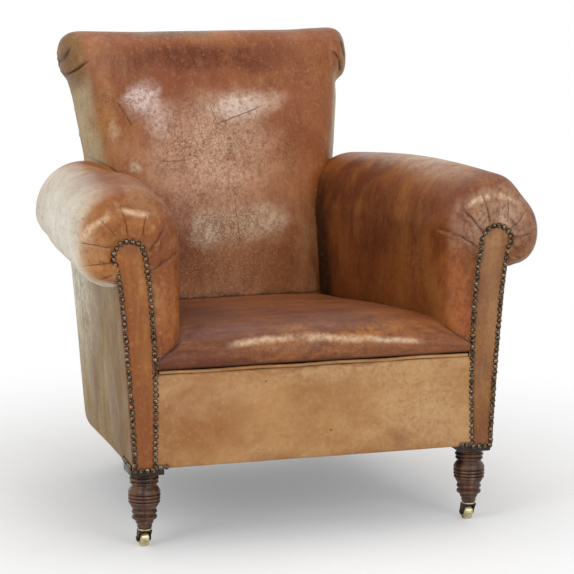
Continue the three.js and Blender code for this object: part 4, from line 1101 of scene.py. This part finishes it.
fold_ears(back)
x, depth, up = back_local(places(back))
past_corner = smoothstep(np.abs(x) - back_half(up), -7, 7)
mark(back, "side_border", past_corner * smoothstep(560 - up, -10, 60) * smoothstep(up, 290, 350))
mark(back, "ear", smoothstep(np.abs(x), 256, 276) * smoothstep(up, 500, 540))
back_leather = leather(
    "back_leather", dye(160, 102, 66), dye(130, 74, 44), dye(192, 146, 114),
    painted=[("side_border", dye(190, 172, 138)), ("ear", dye(136, 106, 74))],
    zones=[
        # painted highlights: the pale pinkish patches of gloss on the front of the back
        (dye(214, 172, 148), (-30, 610, 620), (190, 110, 170), 1.0),
        (dye(210, 182, 156), (15, 574, 490), (140, 70, 56), 0.5),
        (dye(222, 200, 194), (-154, 646, 732), (44, 60, 46), 1.0),
        (dye(218, 190, 178), (-122, 634, 690), (46, 60, 52), 0.9),
        (dye(224, 202, 188), (30, 641, 716), (92, 60, 44), 1.1),
        (dye(216, 186, 168), (96, 645, 728), (50, 60, 30), 0.8),
        (dye(212, 176, 152), (20, 625, 665), (90, 60, 60), 0.6),
        (dye(218, 194, 168), (-45, 574, 472), (48, 60, 60), 1.0),
        (dye(218, 192, 166), (78, 574, 482), (58, 60, 52), 1.0),
        (dye(150, 84, 44), (205, 620, 640), (70, 110, 200), 0.8),
        # painted highlight along the left edge
        (dye(176, 122, 68), (-232, 640, 690), (34, 90, 130), 0.8),
        (dye(146, 94, 60), (0, 555, 400), (220, 60, 70), 0.7),
        # painted shade where the back meets the seat
        (dye(62, 32, 16), (0, 545, 335), (240, 50, 34), 0.8),
        (dye(104, 52, 16), (-30, 664, 806), (290, 60, 46), 1.3),
        (dye(126, 68, 32), (-40, 655, 765), (140, 50, 34), 0.8),
        # painted highlights along the left edge
        (dye(214, 186, 152), (-241, 648, 722), (13, 30, 26), 0.8),
        (dye(214, 186, 156), (-216, 633, 672), (15, 34, 34), 0.7),
        (dye(214, 190, 164), (-180, 614, 598), (14, 30, 26), 0.9),
        # painted sheen along the crest of the roll
        (dye(130, 114, 98), (10, 720, 868), (380, 80, 27), 1.4),
        # painted shadow in the gap beside the right arm
        (dye(30, 15, 9), (214, 570, 430), (30, 100, 190), 1.5),
    ],
    creases=[
        # creases: painted shade lines; the wide one at the foot is where the back meets the seat,
        # and the three after it where the back meets the left arm
        ((-21, 638, 715), (-11, 629, 679), 1.6), ((-11, 629, 679), (85, 637, 712), 2.2),
        ((-132, 612, 611), (-87, 612, 609), 1.6), ((-87, 612, 609), (-64, 613, 616), 1.4),
        ((15, 593, 535), (17, 583, 491), 1.8), ((17, 583, 491), (18, 571, 444), 1.8),
        ((-206, 641, 727), (-195, 635, 705), 2), ((-195, 635, 705), (-181, 629, 679), 2),
        ((-65, 672, 851), (-37, 655, 782), 1.2), ((51, 668, 837), (53, 653, 777), 1.2),
        ((0, 664, 821), (2, 655, 786), 1.0), ((-230, 548, 344), (230, 548, 344), 5),
        ((-262, 620, 618), (-226, 616, 599), 6), ((-226, 616, 599), (-203, 609, 573), 7),
        ((-203, 609, 573), (-160, 600, 543), 5),
        *[((x1, 700, z1), (x2, 690, z2), 2.4)
          for folds in EAR_FOLDS.values() for x1, z1, x2, z2, _ in folds],
    ],
    polish=[
        ((-30, 622, 655), (190, 90, 130), 0.1), ((0, 574, 480), (120, 60, 70), 0.1),
        ((-30, 664, 806), (300, 70, 60), -0.14),
    ],
    streak=(1, 1, 0.3), gloss=0.36, crackle=1.0)
dress(back, back_leather, "chair", ["back_pad"])


# Outside back: one flat panel of dry hide over the back's frame, from under the roll to under the
# rear rail, wider below the arms than above them, and blind-sewn round its edge.
REAR_LOW, REAR_LONG, REAR_DROP, REAR_HALF = -83, 640, 27, 281


def outside_back_shape(u, v):
    up = REAR_LOW + REAR_LONG * v - REAR_DROP * (1 - v) ** 4
    upper = back_half(up) + 26.5
    side = REAR_HALF + (upper - REAR_HALF) * smoothstep(up, 300, 330)
    x = side * (2 * u - 1)
    round_edge = np.minimum(np.minimum(u, 1 - u) / 0.02, np.minimum(v, 1 - v) / 0.02)
    depth = BACK_REAR + 2.8 + 1.2 * np.sin(np.pi * u) * np.sin(np.pi * v)
    depth = depth - 2.2 * (1 - np.clip(round_edge, 0, 1)) ** 2
    return back_place(x, depth, up)


outside_back = cover("outside_back_cover", 100, 104, outside_back_shape, (0, 300, 450))
thicken(outside_back)
outside_back_leather = leather(
    "outside_back_leather", dye(152, 122, 86), dye(122, 92, 60), dye(184, 164, 134),
    zones=[
        (dye(186, 168, 140), (0, 700, 560), (240, 120, 200), 0.7),
        (dye(110, 82, 54), (0, 620, 170), (260, 60, 40), 0.6),
    ],
    streak=(1, 1, 0.3), gloss=0.5, crackle=0.3)
dress(outside_back, outside_back_leather, "chair", ["outside_back"])


# Front legs: turned beech, stained almost black and rubbed back on the beads, with a thin square
# block under the rail and a narrower one that goes up inside the frame.
LEG_X, LEG_Y = 302.5, 37
LEG_FOOT, LEG_SHOULDER = (4.6, 34.8), (27, 136)
LEG_BLOCKS = [(0.059, 0.1342, 0.1462), (0.0505, 0.1466, 0.215)]
BLOCK_EDGE = 0.0014


def wood(name, dark, light, gloss, grain=(1, 1, 0.12), block_shade=0.0):
    """Stained wood, its grain along Z; painted shade darkens what lies above the turned part, the
    blocks under the rail.
    """
    timber = Finish(name)
    rings = timber.noise(60, 4, 0.6, grain, 0.8)
    cloud = timber.noise(18, 3)
    colour = timber.mixed(timber.step(rings, 0.35, 0.7), dark, light)
    colour = timber.mixed(timber.maths("MULTIPLY", timber.step(cloud, 0.4, 0.7), 0.5), colour, dark)
    # painted shade: the blocks above the turning, in the shade under the rail, made nearly black
    if block_shade:
        height = timber.node("SeparateXYZ", {"Vector": timber.place}, "Z")
        black = tuple(c * 0.2 for c in dark[:3]) + (1,)
        colour = timber.mixed(timber.step(height, 0.131, 0.137, 0, block_shade), colour, black)
    timber.bump(rings, 0.15, 0.4)
    rough = timber.step(cloud, 0.3, 0.7, gloss - 0.06, gloss + 0.12)
    return timber.done(colour, rough, **{"Specular IOR Level": 0.4})


dark_wood = wood("dark_polished_wood", tone(44, 27, 18), tone(114, 72, 46), 0.32, block_shade=0.85)
# radius and height of each step of the turning, from the foot up
turned_profile = [(9.6, 34.8), (12.2, 36), (13.4, 38.6), (13, 42), (14.8, 44.4), (16.2, 46.8),
                  (15.6, 49.2), (15, 50.4), (19.4, 51.6), (21.6, 53.4), (22.2, 55.6), (21.4, 58),
                  (18.6, 59.6), (18.8, 61.4), (21.6, 63.2), (22.4, 65.6), (21.2, 68),
                  (19.8, 69.4), (22.6, 73.5), (25, 78), (24.2, 79.6), (27, 80.8), (27.8, 82.4),
                  (27, 84.2), (25, 85.2), (27.6, 86.6), (28.4, 88.4), (27.6, 90.2), (25.4, 91.2),
                  (28, 92.6), (28.6, 94.4), (27.8, 96.2), (25.8, 97.2), (28.2, 99.2),
                  (28.2, 102), (26.4, 105.6), (23.4, 109.6), (20.6, 112.4), (20.2, 114),
                  (23.6, 115.2), (25.2, 117), (24.6, 119), (21.8, 120.2), (22, 121.4),
                  (25, 122.6), (26.2, 124.6), (25, 126.8), (22, 128.2), (22.4, 130.4),
                  (25.6, 132.6), (27, 134.4)]


def front_leg(name, sign):
    bpy.ops.object.select_all(action="DESELECT")
    radius, height = LEG_FOOT
    bpy.ops.mesh.primitive_circle_add(vertices=56, radius=radius * MM, fill_type="NGON",
                                      location=(0, 0, height * MM))
    leg = bpy.context.object
    bpy.ops.object.transform_apply(location=True)
    leg.name = leg.data.name = name
    bpy.ops.object.mode_set(mode="EDIT")
    bpy.ops.mesh.select_all(action="SELECT")
    for wider, higher in turned_profile + [LEG_SHOULDER]:
        rise = (0, 0, (higher - height) * MM)
        bpy.ops.mesh.extrude_region_move(TRANSFORM_OT_translate={"value": rise})
        bpy.ops.transform.resize(value=(wider / radius, wider / radius, 1),
                                 center_override=(0, 0, 0))
        radius, height = wider, higher
    for width, low, high in LEG_BLOCKS:
        bpy.ops.mesh.select_all(action="DESELECT")
        bpy.ops.mesh.primitive_cube_add(size=1, location=(0, 0, 0))
        bpy.ops.transform.resize(value=(width, width, high - low))
        bpy.ops.mesh.bevel(offset=BLOCK_EDGE, segments=3, affect="EDGES")
        bpy.ops.mesh.select_linked()
        bpy.ops.transform.translate(value=(0, 0, (low + high) / 2))
    bpy.ops.mesh.select_all(action="SELECT")
    bpy.ops.mesh.normals_make_consistent(inside=False)
    bpy.ops.object.mode_set(mode="OBJECT")
    leg.data.transform(Matrix.Translation(spot(sign * LEG_X, LEG_Y, 0)))
    bpy.ops.object.shade_smooth_by_angle(angle=math.radians(35))
    return leg


for side, sign in (("right", 1), ("left", -1)):
    leg = front_leg(f"turned_leg_{side}", sign)
    dress(leg, dark_wood, "chair", [f"front_leg_{side}"])


# Rear legs: plain square tapered beech with softened edges, swept back at the toe and screwed under
# the rear rail. The photograph's view hides them behind the front.
REAR_LEG_X, REAR_LEG_Y, REAR_LEG_HIGH = 190, 594.3, 149.7
REAR_LEG_TOE, REAR_LEG_WIDER, REAR_LEG_SWEEP = 15, 7, 34


def rear_leg_shape(u, v):
    """u goes round the leg and v up it, from the middle of the toe to the middle of the top."""
    share = np.clip((v - 0.02) / 0.96, 0, 1)
    closed = np.where(v < 0.02, v / 0.02, np.where(v > 0.98, (1 - v) / 0.02, 1))
    half = (REAR_LEG_TOE + REAR_LEG_WIDER * share) * closed
    angle = 2 * np.pi * u
    c, s = np.cos(angle), np.sin(angle)
    square = (np.abs(c) ** 9 + np.abs(s) ** 9) ** (-1 / 9)
    middle = REAR_LEG_Y + REAR_LEG_SWEEP * (1 - share) ** 1.8
    return REAR_LEG_X + half * square * c, middle + half * square * s, REAR_LEG_HIGH * share


for side, sign in (("right", 1), ("left", -1)):
    leg = cover(f"swept_leg_{side}", 48, 40, rear_leg_shape)
    close_tube(leg)
    if sign < 0:
        leg.data.transform(Matrix.Scale(-1, 4, (1, 0, 0)))
        leg.data.flip_normals()
    dress(leg, dark_wood, "chair", [f"rear_leg_{side}"])


# Casters: a pale rubbed brass plate screwed to the leg's foot, a dark iron fork whose stem turns in
# it, and a brass wheel on an iron axle. They keep their solids' shape and get their metal here.
brass = Finish("rubbed_brass")
dull = brass.noise(150, 4)
brass.bump(dull, 0.2, 0.4)
brass_colour = brass.mixed(brass.step(dull, 0.35, 0.65), tone(176, 162, 122),
                           tone(206, 196, 160))
brass.done(brass_colour, brass.step(dull, 0.3, 0.7, 0.28, 0.5), Metallic=0.8)
iron = Finish("dark_iron")
rust = iron.noise(200, 4)
iron.bump(rust, 0.3, 0.5)
iron_colour = iron.mixed(iron.step(rust, 0.4, 0.7), tone(44, 36, 30), tone(84, 62, 46))
iron.done(iron_colour, iron.step(rust, 0.3, 0.7, 0.4, 0.65), Metallic=0.8)


def finish_node(name, material):
    node = frame["nodes"][name]
    node.data.materials.clear()
    node.data.materials.append(material)


for side in ("right", "left"):
    for node in ("caster_plate", "caster_wheel"):
        finish_node(f"{node}_{side}", brass.material)
    for node in ("caster_fork", "caster_axle"):
        finish_node(f"{node}_{side}", iron.material)


# Inside: beech frame, jute webbing and spring cover, wire springs, and the black cloth tacked under
# the seat. They keep the shape of their solids and get their finish here.
raw_wood = wood("raw_beech", tone(150, 112, 72), tone(190, 154, 108), 0.7)
jute = Finish("woven_jute")
yarn = {"Vector": jute.place, "Scale": 160.0, "Distortion": 0.6}
warp = jute.node("TexWave", yarn, 1, bands_direction="X")
weft = jute.node("TexWave", yarn, 1, bands_direction="Y")
weave = jute.maths("MULTIPLY", warp, weft)
jute.bump(weave, 0.5, 0.8)
jute.done(jute.mixed(jute.step(weave, 0.1, 0.7), tone(104, 86, 54), tone(168, 146, 100)), 0.9)
cloth = Finish("black_lining_cloth")
threads = cloth.noise(700, 2)
cloth.bump(threads, 0.3, 0.3)
dusty = cloth.step(cloth.noise(12, 4), 0.4, 0.7)
cloth.done(cloth.mixed(dusty, tone(24, 23, 22), tone(52, 48, 44)), 0.95)
wire = Finish("dull_spring_wire")
film = wire.noise(260, 3)
wire_colour = wire.mixed(wire.step(film, 0.4, 0.65), tone(96, 92, 88), tone(128, 104, 84))
wire.done(wire_colour, 0.45, Metallic=0.9)
FRAME_PIECES = ("arm_post", "arm_rail", "arm_slat", "back_upright", "corner_block", "side_rail",
                "front_rail", "rear_rail", "back_top_rail", "back_lower_rail")
for name in frame["nodes"]:
    if name.startswith(FRAME_PIECES):
        finish_node(name, raw_wood)
    elif name in ("seat_webbing", "back_webbing", "spring_cover"):
        finish_node(name, jute.material)
    elif name.startswith("seat_spring"):
        finish_node(name, wire.material)
    elif name == "dust_cover":
        finish_node(name, cloth.material)


# Studio: a pale floor that fades into a white backdrop, with soft lights above, in front and to the
# left. The floor and the world are white only to the camera and to what gloss and glass show.
SEEN_BY = ("Is Camera Ray", "Is Glossy Ray", "Is Transmission Ray")
floor_paint = Finish("studio_floor")
rays = [floor_paint.node("LightPath", {}, ray) for ray in SEEN_BY]
seen = floor_paint.maths("MAXIMUM", floor_paint.maths("MAXIMUM", rays[0], rays[1]), rays[2])
speckle = floor_paint.step(floor_paint.noise(3, 2), 0.3, 0.7)
floor_paint.done(floor_paint.mixed(speckle, (0.88, 0.88, 0.88, 1), (0.91, 0.91, 0.91, 1)), 0.8)
bpy.ops.object.select_all(action="DESELECT")
bpy.ops.mesh.primitive_plane_add(size=60, location=(0, 0, 0))
floor = bpy.context.object
floor.name = "studio_floor"
floor.data.materials.append(floor_paint.material)
glow = floor_paint.tree.nodes.new("ShaderNodeEmission")
glow.inputs["Color"].default_value = (1, 1, 1, 1)
glow.inputs["Strength"].default_value = 1.0
blend = floor_paint.tree.nodes.new("ShaderNodeMixShader")
out = floor_paint.tree.nodes["Material Output"]
reach = floor_paint.node("VectorMath", {0: floor_paint.place}, 1, operation="LENGTH")
far = floor_paint.step(reach, 0.3, 1.3, 0.22, 1.0)
floor_paint.tree.links.new(floor_paint.maths("MULTIPLY", far, seen), blend.inputs[0])
floor_paint.tree.links.new(floor_paint.shader.outputs[0], blend.inputs[1])
floor_paint.tree.links.new(glow.outputs[0], blend.inputs[2])
floor_paint.tree.links.new(blend.outputs[0], out.inputs["Surface"])

world = bpy.data.worlds.new("studio")
bpy.context.scene.world = world
world.use_nodes = True
sky = world.node_tree
sky_path = sky.nodes.new("ShaderNodeLightPath")
sky_seen = sky_path.outputs[SEEN_BY[0]]
for ray in SEEN_BY[1:]:
    either = sky.nodes.new("ShaderNodeMath")
    either.operation = "MAXIMUM"
    sky.links.new(sky_seen, either.inputs[0])
    sky.links.new(sky_path.outputs[ray], either.inputs[1])
    sky_seen = either.outputs[0]
strength = sky.nodes.new("ShaderNodeMapRange")
strength.inputs["To Min"].default_value = 0.55
strength.inputs["To Max"].default_value = 1.0
sky.links.new(sky_seen, strength.inputs["Value"])
sky.nodes["Background"].inputs["Color"].default_value = (1, 1, 1, 1)
sky.links.new(strength.outputs[0], sky.nodes["Background"].inputs["Strength"])


def softbox(name, place, aim, width, height, power):
    """A soft rectangular lamp of so many watts, turned to its aim and not seen itself."""
    bpy.ops.object.light_add(type="AREA", location=place)
    lamp = bpy.context.object
    lamp.name = name
    lamp.data.shape = "RECTANGLE"
    lamp.data.size, lamp.data.size_y = width, height
    lamp.data.energy = power
    lamp.rotation_euler = (Vector(aim) - Vector(place)).to_track_quat("-Z", "Y").to_euler()
    lamp.visible_camera = False


softbox("window_left", (-2.4, -1.9, 2.2), (0, 0, 0.5), 1.4, 1.8, 30)
softbox("tall_window_front", (0.42, -3.3, 1.75), (0, 0.2, 0.55), 0.42, 1.3, 15)
softbox("tall_window_right", (1.25, -3.1, 1.75), (0, 0.2, 0.55), 0.42, 1.3, 15)
softbox("ceiling", (0.1, 0.1, 3.0), (0, 0, 0.4), 2.2, 2.0, 26)
